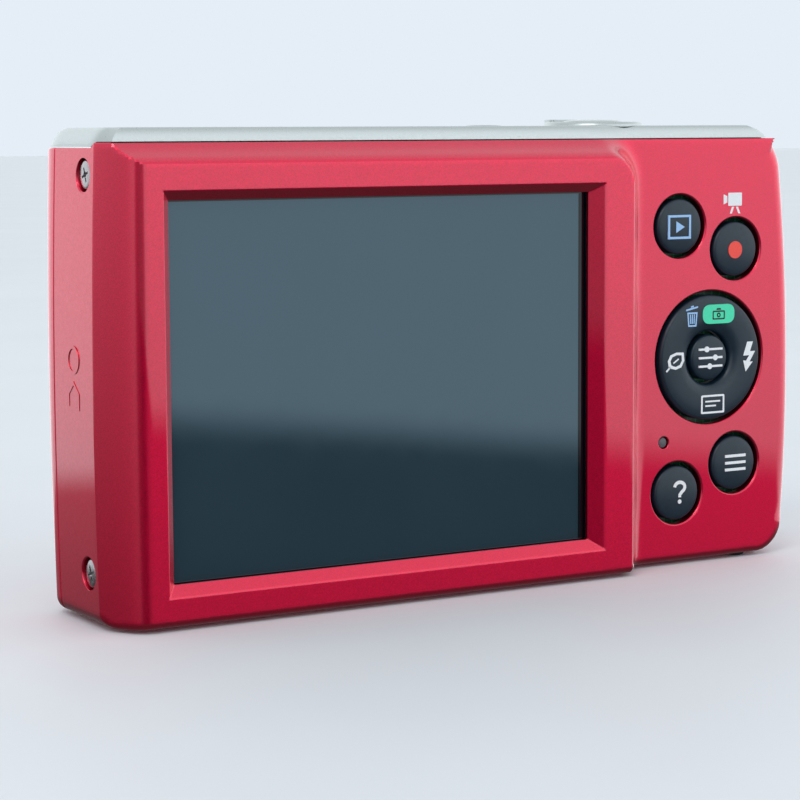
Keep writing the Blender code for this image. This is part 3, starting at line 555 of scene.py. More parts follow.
def round_edges(obj, width, segments=3, angle=35.0):
    modifier = obj.modifiers.new("rounded_edges", "BEVEL")
    modifier.width = width * MM
    modifier.segments = segments
    modifier.limit_method = "ANGLE"
    modifier.angle_limit = math.radians(angle)
    modifier.harden_normals = False
    even_shading(obj)


def rimmed_hole(axis, centre, radius, inner, surface, rim, bm, steps=ROUND):
    """Cutter for a round hole whose edge rolls over at the surface; surface > inner or below it."""
    outward = 1.0 if surface > inner else -1.0
    profile = [(0.0, inner), (radius, inner)]
    profile += turn(radius, surface - outward * rim, rim, outward * rim, 9, 72.0, 0)
    profile += [(radius + rim + 0.05, surface + outward * 0.14),
                (radius + rim + 0.25, surface + outward * 0.6)]
    profile += [(radius + rim + 0.25, surface + outward * 2.0), (0.0, surface + outward * 2.0)]
    return lathe(profile, axis, centre, steps, bm)


# ---- outline of the case ----

def top_round(z, radius):
    """How far a side draws in near the top of the case."""
    above = z - (BODY_TOP - radius)
    if above <= 0.0:
        return 0.0
    return radius - math.sqrt(max(0.0, radius ** 2 - above ** 2))


def left_side(z):
    return HALF_WIDTH - (z - CASE_MIDDLE_Z) ** 2 / 1400.0 - top_round(z, 2.4)


def right_side(z):
    return HALF_WIDTH - (z - CASE_MIDDLE_Z) ** 2 / 460.0 - top_round(z, 5.5)


def inset(side, amount):
    return lambda z: side(z) - amount


def fixed(value):
    return lambda z: value


def loop(left, right, base, top, radii=SHARP):
    """Closed outline seen from behind as (distance right of centre, height), clockwise."""
    top_left, top_right, base_right, base_left = radii
    points = []

    def corner(centre_u, centre_z, radius, start):
        for i in range(CORNER_STEPS + 1):
            angle = math.radians(start - 90.0 * i / CORNER_STEPS)
            points.append((centre_u + radius * math.cos(angle), centre_z + radius * math.sin(angle)))

    def run(start, end, steps):
        for i in range(1, steps):
            t = i / steps
            points.append((start[0] + (end[0] - start[0]) * t, start[1] + (end[1] - start[1]) * t))

    def side(function, sign, start, end, steps):
        for i in range(1, steps):
            z = start + (end - start) * (1.0 - math.cos(math.pi * i / steps)) / 2.0
            points.append((sign * function(z), z))

    corner(-left(top - top_left) + top_left, top - top_left, top_left, 180.0)
    run(points[-1], (right(top - top_right) - top_right, top), TOP_STEPS)
    corner(right(top - top_right) - top_right, top - top_right, top_right, 90.0)
    side(right, 1.0, top - top_right, base + base_right, RIGHT_STEPS)
    corner(right(base + base_right) - base_right, base + base_right, base_right, 0.0)
    run(points[-1], (-left(base + base_left) + base_left, base), BASE_STEPS)
    corner(-left(base + base_left) + base_left, base + base_left, base_left, -90.0)
    side(left, -1.0, base + base_left, top - top_left, LEFT_STEPS)
    return points


def box_loop(left, right, base, top):
    return loop(fixed(left), fixed(right), base, top)


def wall_loop(draw_in):
    """Outline of both covers at the seam, drawn in by a small distance."""
    return loop(inset(left_side, draw_in), inset(right_side, draw_in), CASE_BOTTOM + draw_in,
                COVER_TOP - draw_in, CASE_CORNERS)


def around(top, right, base, left):
    """A value for each point of a loop: one for each side, blended round the corners."""
    values = []
    for before, after, steps in ((left, top, TOP_STEPS), (top, right, RIGHT_STEPS),
                                 (right, base, BASE_STEPS), (base, left, LEFT_STEPS)):
        for i in range(CORNER_STEPS + 1):
            values.append(before + (after - before) * i / CORNER_STEPS)
        values += [after] * (steps - 1)
    return values


def at_depth(points, depth):
    """World points of an outline; depth is one number or one for each point."""
    if isinstance(depth, (int, float)):
        depth = [depth] * len(points)
    return [(-u, y, z) for (u, z), y in zip(points, depth)]


def ease(distance, softness):
    """Like max(0, distance), with its corner rounded over softness either side."""
    if distance <= -softness:
        return 0.0
    if distance >= softness:
        return distance
    return (distance + softness) ** 2 / (4.0 * softness)


def cove_drop(distance):
    """Fall from the display frame towards the control panel, outside the frame's edge."""
    remaining = max(0.0, 1.0 - ease(distance, COVE_SOFTNESS) / COVE_WIDTH)
    return COVE_DEPTH * (1.0 - remaining ** 2.2)


def rear_height(u, z):
    """Y of the back face at a place given as (distance right of centre, height)."""
    across = u - (FRAME_RIGHT - FRAME_CORNER)
    above = z - (FRAME_TOP - FRAME_CORNER)
    if across > 0.0 and above > 0.0:
        outside = math.hypot(across, above) - FRAME_CORNER
    else:
        outside = max(across, above) - FRAME_CORNER
    share = ease(-u - FRAME_LEFT, LEFT_RIDGE_SOFTNESS) / (left_side(z) - FRAME_LEFT)
    drop = max(cove_drop(outside), LEFT_BEVEL_DEPTH * (0.6 * share + 0.4 * share ** 2))
    return DISPLAY_FACE_Y - drop


# ---- covers ----

def opening_loop(share):
    """Loop down the bevel of the display opening; share 0 is its upper edge and 1 its lower."""
    outline = loop(fixed(41.2 - 0.9 * share), fixed(15.8 - 2.0 * share), 3.7 + 1.3 * share,
                   47.1 - share)
    return at_depth(outline, DISPLAY_FACE_Y - OPENING_DEPTH * ease(share, 0.12))


def lip_rise(t):
    """Height of the cover's top edge along the S curve from its side to its back."""
    share = min(1.0, max(0.0, t))
    return COVER_TOP + (LIP_TOP - COVER_TOP) * share * share * (3.0 - 2.0 * share)


def inner_outline():
    return loop(inset(left_side, WALL), inset(right_side, WALL), CASE_BOTTOM + WALL, 50.2,
                INNER_CORNERS)


def door_section(margin, first_angle):
    """Outline of the door as (y, z) with its rolled hinge edge drawn up from first_angle."""
    middle_z = CASE_BOTTOM + DOOR_THICKNESS / 2.0
    radius = DOOR_THICKNESS / 2.0 + margin
    outline = []
    for k in range(17):
        angle = math.radians(first_angle + (90.0 - first_angle) * k / 16)
        outline.append((DOOR_Y[1] + radius * math.cos(angle), middle_z + radius * math.sin(angle)))
    front = DOOR_Y[0] - margin
    return outline + [(front, middle_z + radius), (front, middle_z - radius)]


def door_opening():
    """Cutter for the battery door's opening, square below the hinge."""
    outline = door_section(DOOR_GAP, 0.0)
    outline.append((outline[0][0], outline[-1][1]))
    return prism(outline, "X", DOOR_X[0] - DOOR_GAP, DOOR_X[1] + DOOR_GAP)


def outline_base(limit, radius, z):
    """How far a rounded lower corner draws a side in at a height."""
    low = radius - (z - CASE_BOTTOM)
    if low <= 0.0:
        return limit
    return limit - radius + math.sqrt(max(0.0, radius ** 2 - low ** 2))


def roll(distance, radius):
    """Fall of a quarter-round edge at a distance in from it."""
    if distance >= radius:
        return 0.0
    return radius - math.sqrt(max(0.0, radius ** 2 - (radius - distance) ** 2))


def edge_distances(radius, steps):
    return [radius * (1.0 - math.cos(math.radians(90.0 * k / steps))) for k in range(steps)]


def spread(start, end, steps):
    return [start + (end - start) * k / steps for k in range(steps)]


def edge_finder():
    """Function giving the distance to the outline of the back and the edge radius there."""
    outline = loop(left_side, right_side, CASE_BOTTOM, LIP_TOP, CASE_CORNERS)
    radii = around(TOP_EDGE_RADIUS, PANEL_EDGE_RADIUS, BASE_EDGE_RADIUS, SIDE_EDGE_RADIUS)
    tree = KDTree(len(outline) * OUTLINE_SAMPLES)
    samples = []
    for k, (start, radius) in enumerate(zip(outline, radii)):
        following = (k + 1) % len(outline)
        end = outline[following]
        for i in range(OUTLINE_SAMPLES):
            t = i / OUTLINE_SAMPLES
            spot = (start[0] + (end[0] - start[0]) * t, start[1] + (end[1] - start[1]) * t)
            samples.append((spot, start, end, radius + (radii[following] - radius) * t))
            tree.insert((spot[0], spot[1], 0.0), len(samples) - 1)
    tree.balance()

    def find(u, z):
        spot, start, end, radius = samples[tree.find((u, z, 0.0))[1]]
        along = Vector((end[0] - start[0], end[1] - start[1])).normalized()
        offset = Vector((u - spot[0], z - spot[1]))
        return abs(along.x * offset.y - along.y * offset.x), radius

    return find


def back_rows():
    """Rows of (u, z) over the back, closer together along its edges, cove and ridge."""
    heights = [CASE_BOTTOM + d for d in edge_distances(BASE_EDGE_RADIUS, 11)]
    heights += spread(CASE_BOTTOM + BASE_EDGE_RADIUS, LOW_ROWS_END, 12)
    heights += spread(LOW_ROWS_END, HIGH_ROWS_START, 30)
    heights += spread(HIGH_ROWS_START, LIP_TOP - TOP_EDGE_RADIUS, 22)
    heights += [LIP_TOP - d for d in reversed(edge_distances(TOP_EDGE_RADIUS, 3))]
    rows = []
    for z in heights:
        left = -outline_base(left_side(z), CASE_CORNERS[3], z)
        right = outline_base(right_side(z), CASE_CORNERS[2], z)
        row = [left, left + SIDE_EDGE_RADIUS / 4.0, left + SIDE_EDGE_RADIUS]
        row += spread(left + 0.35, RIDGE_COLUMNS_END, 18)
        row += spread(RIDGE_COLUMNS_END, COVE_COLUMNS[0], 26) + spread(*COVE_COLUMNS, 34)
        row += spread(COVE_COLUMNS[1], right - PANEL_EDGE_RADIUS, 16)
        row += [right - d for d in [PANEL_EDGE_RADIUS] + edge_distances(PANEL_EDGE_RADIUS, 14)[::-1]]
        rows.append([(u, z) for u in row])
    return rows


def back_solid():
    """Solid block whose rear is the moulded back surface and whose sides run to the seam."""
    find = edge_finder()
    bm = bmesh.new()
    grid = []
    for row in back_rows():
        made = []
        last = len(row) - 1
        for i, (u, z) in enumerate(row):
            distance, radius = find(u, z)
            if i in (0, last) or z <= CASE_BOTTOM + 1e-6 or z >= LIP_TOP - 1e-6:
                distance = 0.0
            made.append(bm.verts.new((-u, rear_height(u, z) - roll(distance, radius), z)))
        grid.append(made)
    for low, high in zip(grid, grid[1:]):
        for k in range(len(low) - 1):
            bm.faces.new((low[k], low[k + 1], high[k + 1], high[k]))
    rim = grid[0][:-1] + [row[-1] for row in grid[:-1]] + grid[-1][:0:-1] + [row[0] for row in grid[:0:-1]]
    seam_y = SEAM_Y + SEAM_GAP / 2.0
    middle = Vector((0.0, 0.0, CASE_MIDDLE_Z))
    previous = rim
    for y, draw_in in ((4.5, 0.0), (0.0, 0.0), (seam_y + SEAM_ROUND, 0.0), (seam_y + 0.035, 0.035),
                       (seam_y, SEAM_ROUND)):
        following = []
        for vert in rim:
            inward = middle - vert.co
            inward.y = 0.0
            spot = vert.co + inward.normalized() * draw_in
            following.append(bm.verts.new((spot.x, y, spot.z)))
        band(bm, previous, following)
        previous = following
    bm.faces.new(previous)
    return bm


def display_cutter():
    """Everything inside the rear cover: main space, display pocket and bevelled opening."""
    inner = inner_outline()
    pocket = box_loop(*POCKET)
    opening = box_loop(*OPENING)
    loops = [at_depth(inner, SEAM_Y - 1.0), at_depth(inner, PANEL_BACK_Y), at_depth(pocket, PANEL_BACK_Y),
             at_depth(pocket, LIP_BACK_Y), at_depth(opening, LIP_BACK_Y)]
    loops += [opening_loop(share) for share in (1.0, 0.5, 0.13, 0.08, 0.03, -0.03, -0.08, -0.12)]
    top = [(x, DISPLAY_FACE_Y + 2.0, z) for x, _, z in loops[-1]]
    return skin(loops + [top])


def rear_cover():
    cover = piece("rear_cover_shell", back_solid(), "red_paint", replaces=["rear_cover"])
    cut(cover, display_cutter())
    for shift, x in ((0.0, (GRIP_END_X, CLEAR)), (GRIP_LIP_SHIFT, (-CLEAR, GRIP_END_X))):
        curve = [(LIP_START_Y + LIP_RUN * k / 12 - shift, lip_rise(k / 12)) for k in range(13)]
        step = [(-CLEAR, CLEAR), (-CLEAR, COVER_TOP)] + curve + [(curve[-1][0] + 0.02, CLEAR)]
        cut(cover, prism(step, "X", *x))

    holes = bmesh.new()
    for x, z, radius in (PLAYBACK, MOVIE, PAD, HELP, MENU):
        rimmed_hole("Y", (x, z), radius, KEY_HOLE_FLOOR, PANEL_Y, HOLE_RIM, holes)
    rimmed_hole("Y", STATUS_LAMP[:2], STATUS_LAMP[2], KEY_HOLE_FLOOR, PANEL_Y, 0.14, holes, 40)
    for y, z in SIDE_SCREWS:
        rimmed_hole("X", (y, z), SIDE_SCREW_HOLE, 44.8, left_side(z), 0.14, holes, 56)
    cut(cover, holes)
    for spot, radius in ((TRIPOD, TRIPOD_HOLE), (BASE_SCREW, BASE_SCREW_HOLE)):
        cut(cover, rimmed_hole("Z", spot, radius, 2.4, CASE_BOTTOM, 0.2, bmesh.new(), 64))
    cut(cover, box(TOP_HATCH_X, (-5.0, 5.0), (49.0, 53.0)))
    cut(cover, door_opening())
    cut(cover, terminal_recess())
    cut(cover, prism(soften(rectangle(*STRAP_SLOT), 0.8), "X", -49.0, -45.0))
    smooth(cover.data, COVER_SHARP_ANGLE)
    even_shading(cover)


def terminal_recess():
    """Seat of the terminal flap on the grip side."""
    margin = 0.12
    outline = rectangle((TERMINAL_Y[0] - 1.0 - margin, TERMINAL_Y[1] + margin),
                        (TERMINAL_Z[0] - margin, TERMINAL_Z[1] + margin))
    return prism(soften(outline, 0.25), "X", -49.0, -45.2)


def around_lens(points, radius):
    """Circle about the lens axis with one point in the direction of each outline point."""
    ring = []
    for u, z in points:
        angle = math.atan2(z - LENS_Z, u + LENS_X)
        ring.append((-LENS_X + radius * math.cos(angle), LENS_Z + radius * math.sin(angle)))
    return ring


def front_left(z):
    """Left edge of the flat front; the rolled corner beside it widens towards the base."""
    return left_side(z) - 2.0 - 2.4 * (1.0 - z / BODY_TOP) ** 1.5


def front_cover():
    wall = wall_loop(0.0)
    face = loop(front_left, inset(right_side, 4.0), CASE_BOTTOM + 1.6, COVER_TOP - 1.0, FACE_CORNERS)
    seam = SEAM_Y - SEAM_GAP / 2.0
    loops = [at_depth(wall_loop(SEAM_ROUND), seam), at_depth(wall, seam - SEAM_ROUND)]
    start = seam - 0.5
    for share, y in turn(0.0, start, 1.0, FRONT_FACE_Y - start, 18, first=0):
        points = [(u0 + (u1 - u0) * share, z0 + (z1 - z0) * share)
                  for (u0, z0), (u1, z1) in zip(wall, face)]
        loops.append(at_depth(points, y))
    inner_face = loop(inset(front_left, 0.5), inset(right_side, 4.4), 2.6, 50.0, FACE_CORNERS)
    inner = inner_outline()
    loops += [at_depth(around_lens(face, LENS_HOLE + 0.25), FRONT_FACE_Y),
              at_depth(around_lens(face, LENS_HOLE + 0.07), FRONT_FACE_Y + 0.07),
              at_depth(around_lens(face, LENS_HOLE), FRONT_FACE_Y + 0.25),
              at_depth(around_lens(face, LENS_HOLE), FRONT_FACE_Y + WALL),
              at_depth(inner_face, FRONT_FACE_Y + WALL), at_depth(inner, seam - 0.6),
              at_depth(inner, seam)]
    cover = piece("front_cover_shell", loft(loops), "red_paint", replaces=["front_cover"])
    flash = soften(rectangle(*FLASH_OPENING), 1.4, 8)
    cut(cover, prism(flash, "Y", -9.5, -6.0))
    holes = bmesh.new()
    rimmed_hole("Y", FOCUS_LAMP, 1.85, -6.0, FRONT_FACE_Y, 0.15, holes, 64)
    for x, z in MICROPHONE_HOLES:
        rimmed_hole("Y", (x, z), 0.35, -6.0, FRONT_FACE_Y, 0.08, holes, 24)
    cut(cover, holes)
    cut(cover, box(TOP_HATCH_X, (-6.2, -3.0), (49.0, 52.5)))
    cut(cover, door_opening())
    even_shading(cover)


def cap_outline():
    """Plan of the silver cap as (distance right of centre, y), clockwise from the rear left."""
    left = -left_side(CAP_BOTTOM)
    right = right_side(CAP_BOTTOM)

    def rear(u):
        return min(8.3, rear_height(max(u, left + 2.4), LIP_TOP)) - 0.06

    places = [left + 1.0, left + 1.3, left + 1.7, left + 2.4]
    steps = 70
    places += [left + 3.2 + (right - 1.4 - left - 3.2) * k / steps for k in range(steps + 1)]
    points = [(u, rear(u)) for u in places]
    points += [(right - 0.9, 7.1), (right - 0.45, 6.6), (right - 0.12, 5.9)]
    points += [(right, 5.2 - 9.2 * k / 10) for k in range(11)]
    points += turn(right, -4.0, -3.4, -4.2, 10)
    front_steps = 40
    points += [(right - 3.4 + (left + 2.2 - right + 3.4) * k / front_steps, -8.2)
               for k in range(1, front_steps)]
    points += turn(left, -4.0, 2.2, -4.2, 10, first=0)[::-1]
    points += [(left, -4.0 + 9.2 * k / 10) for k in range(1, 11)]
    points += [(left + 0.08, 5.9), (left + 0.3, 6.5), (left + 0.65, 7.05)]
    return points


def top_cover():
    """Silver cap with a fine foot line, following the step of the rear cover's edge."""
    outline = cap_outline()
    foot = CAP_BOTTOM + 0.2
    shoulder = foot + 0.05
    levels = [(CAP_BOTTOM, 0.0, 0.0), (foot, 0.0, 0.0)]
    levels += [(z, 0.1, draw_in)
               for draw_in, z in turn(0.0, shoulder, 1.0, TOP_COVER_TOP - shoulder, 16, first=0)]
    rows = []
    for z, step, draw_in in levels:
        row = []
        for u, y in outline:
            side = right_side(z) if u > 0.0 else left_side(z)
            reach = right_side(CAP_BOTTOM) if u > 0.0 else left_side(CAP_BOTTOM)
            depth = (abs(y) - step) * (1.0 - 0.09 * draw_in)
            row.append((-u * (side - step) / reach, math.copysign(max(0.0, depth), y), z))
        rows.append(row)
    cover = piece("top_cover_shell", skin(rows), "silver_cover", replaces=["top_cover"])
    gap = CAP_BOTTOM - COVER_TOP
    for shift, x in ((0.0, (GRIP_END_X, CLEAR)), (GRIP_LIP_SHIFT, (-CLEAR, GRIP_END_X))):
        start = LIP_START_Y - 0.06 - shift
        curve = [(start + LIP_RUN * k / 8, lip_rise(k / 8) + gap) for k in range(8, -1, -1)]
        outline = [(14.0, 50.0), (14.0, LIP_TOP + gap)] + curve + [(curve[-1][0], 50.0)]
        cut(cover, prism(outline, "X", *x))
    dish = [(0.0, 53.0), (6.1, 53.0), (6.25, 53.05), (6.4, 53.2), (6.4, 53.6), (6.5, 53.75),
            (6.85, 53.9), (6.85, 56.0), (0.0, 56.0)]
    cut(cover, lathe(dish, "Z", SHUTTER))
    cut(cover, lathe([(0.0, 50.0), (4.65, 50.0), (4.65, 55.0), (0.0, 55.0)], "Z", SHUTTER))
    cut(cover, rimmed_hole("Z", POWER, 2.35, 50.0, TOP_COVER_TOP, 0.2, bmesh.new(), 72))
    even_shading(cover)


def battery_door():
    """Door with a soft edge, a hinge roll and a ribbed thumb patch."""
    section = door_section(0.0, -90.0)
    door = piece("battery_door_panel", prism(section, "X", *DOOR_X), "red_paint", "battery_door",
                 ["battery_door"])
    middle_z = CASE_BOTTOM + DOOR_THICKNESS / 2.0
    pin = lathe([(0.0, DOOR_X[0] + 1.0), (0.42, DOOR_X[0] + 1.0), (0.42, DOOR_X[1] + 1.0),
                 (0.0, DOOR_X[1] + 1.0)], "X", (DOOR_Y[1], middle_z), 24)
    join(door, pin)
    grooves = bmesh.new()
    for k in range(5):
        x = -20.5 + 0.9 * k
        box((x, x + 0.4), (-4.6, -0.4), (CASE_BOTTOM - 0.5, CASE_BOTTOM + 0.22), grooves)
    cut(door, grooves)
    round_edges(door, 0.16)


# ---- display ----

def display():
    outline = soften(rectangle((-13.95, 40.45), (4.85, 46.25)), 0.2)
    rows = [[(a, y, b) for a, b in outline] for y in (8.85, 9.55)]
    piece("display_pane", skin(rows), "display_glass", replaces=["display_window"])
    # Black border on the pane's front: the display's printed edge, widened on the right and along the top
    # into painted shade where the opening's walls shade the glass.
    outer = rectangle((-13.9, 40.4), (4.9, 46.2))
    inner = rectangle((-12.92, 40.22), (5.12, 45.93))
    piece("display_border_and_painted_shade", ring_prism(outer, inner, "Y", 9.5, 9.575), "display_glass",
          material=BLACK_PRINT_AND_SHADE)


# ---- controls on the back ----

def crowned_profile(back, radius, shoulder, crown, rim=0.42):
    """Key section: straight side, rolled rim and a soft crown."""
    profile = [(0.0, back), (radius, back), (radius, shoulder - rim)]
    profile += turn(radius, shoulder - rim, -rim, rim, 6, 78.0)
    top_radius, top_y = profile[-1]
    for k in range(1, 9):
        share = k / 8
        profile.append((top_radius * (1.0 - share), top_y + crown * (1.0 - (1.0 - share) ** 2)))
    return profile


def panel_button(name, spot, body):
    x, z, hole = spot
    profile = crowned_profile(5.35, hole - BUTTON_GAP, PANEL_Y, BUTTON_CROWN)
    piece(name + "_cap", lathe(profile, "Y", (x, z)), "button_plastic", body, [name])


def direction_pad():
    x, z, hole = PAD
    outer = hole - BUTTON_GAP
    profile = [(SET_HOLE, 6.25), (outer, 6.25), (outer, PANEL_Y - 0.25)]
    profile += turn(outer, PANEL_Y - 0.25, -0.5, 0.5, 7, 80.0)
    profile += [(outer - 1.3, PANEL_Y + 0.3), (SET_HOLE + 1.6, PANEL_Y + 0.3),
                (SET_HOLE + 1.0, PANEL_Y + 0.24), (SET_HOLE + 0.5, PANEL_Y + 0.06),
                (SET_HOLE + 0.18, PANEL_Y - 0.2), (SET_HOLE, PANEL_Y - 0.5)]
    piece("direction_pad_ring", lathe(profile, "Y", (x, z)), "button_plastic", "direction_pad",
          ["direction_pad"])
    panel_button("set_button", (x, z, SET_HOLE), "set_button")


def status_lamp():
    x, z, hole = STATUS_LAMP
    profile = [(0.0, 5.3), (hole - 0.08, 5.3), (hole - 0.08, 7.1), (hole - 0.2, 7.22), (0.0, 7.3)]
    piece("status_lamp_lens", lathe(profile, "Y", (x, z), 40), "grey_plastic",
          replaces=["status_lamp"], material=LAMP_LENS)


# ---- printed marks ----

def stroke(points, width):
    """Outline of an open line of a given width, as (right, up)."""
    sides = ([], [])
    vectors = [Vector(point) for point in points]
    for i, point in enumerate(vectors):
        along = Vector((0.0, 0.0))
        for a, b in zip(vectors[max(0, i - 1):i + 1], vectors[max(0, i - 1) + 1:i + 2]):
            along += (b - a).normalized()
        along.normalize()
        reach = width / 2.0
        if 0 < i < len(vectors) - 1:
            reach /= max(0.4, along.dot((point - vectors[i - 1]).normalized()))
        across = Vector((-along.y, along.x)) * reach
        sides[0].append(tuple(point + across))
        sides[1].append(tuple(point - across))
    return sides[0] + sides[1][::-1]


def arc(cx, cz, radius, start, end, steps=14):
    return [(cx + radius * math.cos(math.radians(start + (end - start) * k / steps)),
             cz + radius * math.sin(math.radians(start + (end - start) * k / steps)))
            for k in range(steps + 1)]


def mark(name, shapes, centre, surface, ink, body="direction_pad", rings=(), height=0.03):
    """Ink shapes on a face that looks along +Y. Points are (right, up) from the centre."""
    slot = "red_paint" if body == "camera_body" else "button_plastic"
    bm = bmesh.new()

    def placed(outline):
        return [(centre[0] - a, centre[1] + b) for a, b in outline]

    for outline in shapes:
        prism(placed(outline), "Y", surface - 0.25, surface + height, bm)
    for outer, inner in rings:
        ring_prism(placed(outer), placed(inner), "Y", surface - 0.25, surface + height, bm)
    piece(name, bm, slot, body, material=ink)


def printed_marks():
    triangle = [(-0.5, -0.7), (0.78, 0.0), (-0.5, 0.7)]
    mark("playback_mark", [triangle], (PLAYBACK[0] + 0.25, PLAYBACK[1] - 0.05), KEY_TOP, BLUE_INK,
         "playback_button",
         [(rectangle((-1.72, 1.72), (-1.45, 1.45)), rectangle((-1.44, 1.44), (-1.17, 1.17)))])
    mark("record_dot", [circle(0.0, 0.0, 1.06, 48)], (MOVIE[0] + 0.25, MOVIE[1] - 0.1), KEY_TOP, RED_INK,
         "movie_button")

    movie_camera = [soften(rectangle((-0.7, 1.42), (-0.3, 1.3)), 0.12),
                    [(-1.42, -0.1), (-0.86, 0.12), (-0.86, 0.9), (-1.42, 1.12)],
                    [(-0.1, -0.42), (0.22, -0.42), (-0.12, -1.25), (-0.44, -1.25)],
                    [(0.5, -0.42), (0.82, -0.42), (1.2, -1.25), (0.88, -1.25)]]
    mark("movie_camera_mark", movie_camera, (-37.47, 44.25), PANEL_Y, WHITE_INK, "camera_body")

    bin_lid = [[(-0.95, 0.72), (-0.95, 0.92), (0.85, 1.28), (0.85, 1.08)],
               [(-0.2, 1.12), (0.2, 1.2), (0.2, 1.38), (-0.2, 1.3)]]
    bin_slots = [stroke([(offset * 1.1, 0.3), (offset * 0.9, -0.85)], 0.15) for offset in (-0.28, 0.0, 0.28)]
    bin_body = ([(-0.78, 0.55), (0.78, 0.55), (0.62, -1.2), (-0.62, -1.2)],
                [(-0.58, 0.36), (0.58, 0.36), (0.46, -1.01), (-0.46, -1.01)])
    mark("delete_mark", bin_lid + bin_slots, (-31.15, 30.55), PAD_TOP, BLUE_INK, rings=[bin_body])

    pill = soften(rectangle((-2.45, 2.45), (-1.18, 1.18)), 1.18, 14)
    mark("mode_pill", [pill], (-35.2, 30.75), PAD_TOP, GREEN_INK)
    body_outline = soften(rectangle((-0.95, 0.95), (-0.68, 0.42)), 0.15)
    hump = [(-0.38, 0.5), (-0.25, 0.72), (0.25, 0.72), (0.38, 0.5)]
    inner_body = soften(rectangle((-0.78, 0.78), (-0.51, 0.25)), 0.1)
    mark("mode_camera_mark", [hump], (-35.2, 30.75), PAD_TOP, BLACK_PRINT_AND_SHADE, height=0.05,
         rings=[(body_outline, inner_body),
                (circle(0.0, -0.13, 0.3, 24), circle(0.0, -0.13, 0.13, 24))])

    leaf = [(-1.15, -0.75), (-1.3, 0.05), (-0.9, 0.75), (0.0, 1.05), (1.1, 1.0), (1.2, 0.0), (0.75, -0.8),
            (-0.1, -1.05), (-0.75, -0.9)]
    leaf_hole = [(-0.78, -0.45), (-0.9, 0.05), (-0.62, 0.5), (0.05, 0.73), (0.8, 0.68), (0.86, 0.0),
                 (0.52, -0.5), (-0.08, -0.7), (-0.5, -0.6)]
    vein = [stroke([(-1.5, -1.25), (-0.95, -0.72)], 0.22), stroke([(-0.45, -0.25), (0.35, 0.25)], 0.18)]
    mark("leaf_mark", vein, (-28.75, 25.25), PAD_TOP, WHITE_INK, rings=[(leaf, leaf_hole)])

    bolt = [(-0.15, 1.75), (0.75, 1.75), (0.3, 0.55), (1.1, 0.55), (0.25, -0.75), (0.75, -0.75),
            (-0.35, -1.95), (-0.75, -0.55), (-0.3, -0.6), (0.2, 0.05), (-0.75, 0.05)]
    mark("flash_mark", [bolt], (-39.87, 25.35), PAD_TOP, WHITE_INK)

    lines = [stroke([(-1.15, 0.35), (1.15, 0.35)], 0.2), stroke([(-1.15, -0.2), (0.5, -0.2)], 0.2)]
    screen = (soften(rectangle((-1.8, 1.8), (-1.15, 1.15)), 0.2),
              soften(rectangle((-1.56, 1.56), (-0.91, 0.91)), 0.1))
    mark("screen_mark", lines, (-34.4, 19.65), PAD_TOP, WHITE_INK, rings=[screen])

    sliders = []
    for height, knob in ((1.05, -0.6), (0.0, 0.7), (-1.05, -0.15)):
        sliders.append(stroke([(-1.8, height), (knob - 0.36, height)], 0.26))
        sliders.append(stroke([(knob + 0.36, height), (1.8, height)], 0.26))
        sliders.append([(a + knob, b + height) for a, b in circle(0.0, 0.0, 0.36, 24)])
    mark("function_mark", sliders, PAD[:2], KEY_TOP, WHITE_INK, "set_button")

    bars = [rectangle((-1.6, 1.6), (height - 0.17, height + 0.17)) for height in (-0.85, 0.0, 0.85)]
    mark("menu_mark", bars, (MENU[0] - 0.05, MENU[1] + 0.05), KEY_TOP, WHITE_INK,
         "menu_button")

    hook = [(1.25 * a, b) for a, b in arc(0.0, 0.62, 0.62, 175.0, -35.0)]
    hook += [(0.36, 0.05), (0.02, -0.3), (0.0, -0.62)]
    mark("help_mark", [stroke(hook, 0.42), circle(0.0, -1.15, 0.27, 24)],
         (HELP[0] - 0.25, HELP[1] + 0.1), KEY_TOP, WHITE_INK, "help_button")


def side_sign():
    """Plain moulded sign in low relief on the side: a ring over a house shape."""
    face = left_side(27.0)
    bm = bmesh.new()
    middle = (TERMINAL_Y[0] + TERMINAL_Y[1]) / 2.0 + 0.45
    ring_prism(circle(middle, 28.9, 1.55, 48), circle(middle, 28.9, 1.22, 48), "X", face - 0.2,
               face + 0.07, bm)
    outer = [(-1.5, -1.5), (1.5, -1.5), (1.5, 0.3), (0.0, 1.6), (-1.5, 0.3)]
    inner = [(-1.17, -1.17), (1.17, -1.17), (1.17, 0.15), (0.0, 1.17), (-1.17, 0.15)]
    ring_prism([(middle + a, 25.0 + b) for a, b in outer], [(middle + a, 25.0 + b) for a, b in inner],
               "X", face - 0.2, face + 0.07, bm)
    piece("side_sign", bm, "red_paint")


# ---- controls on the top ----

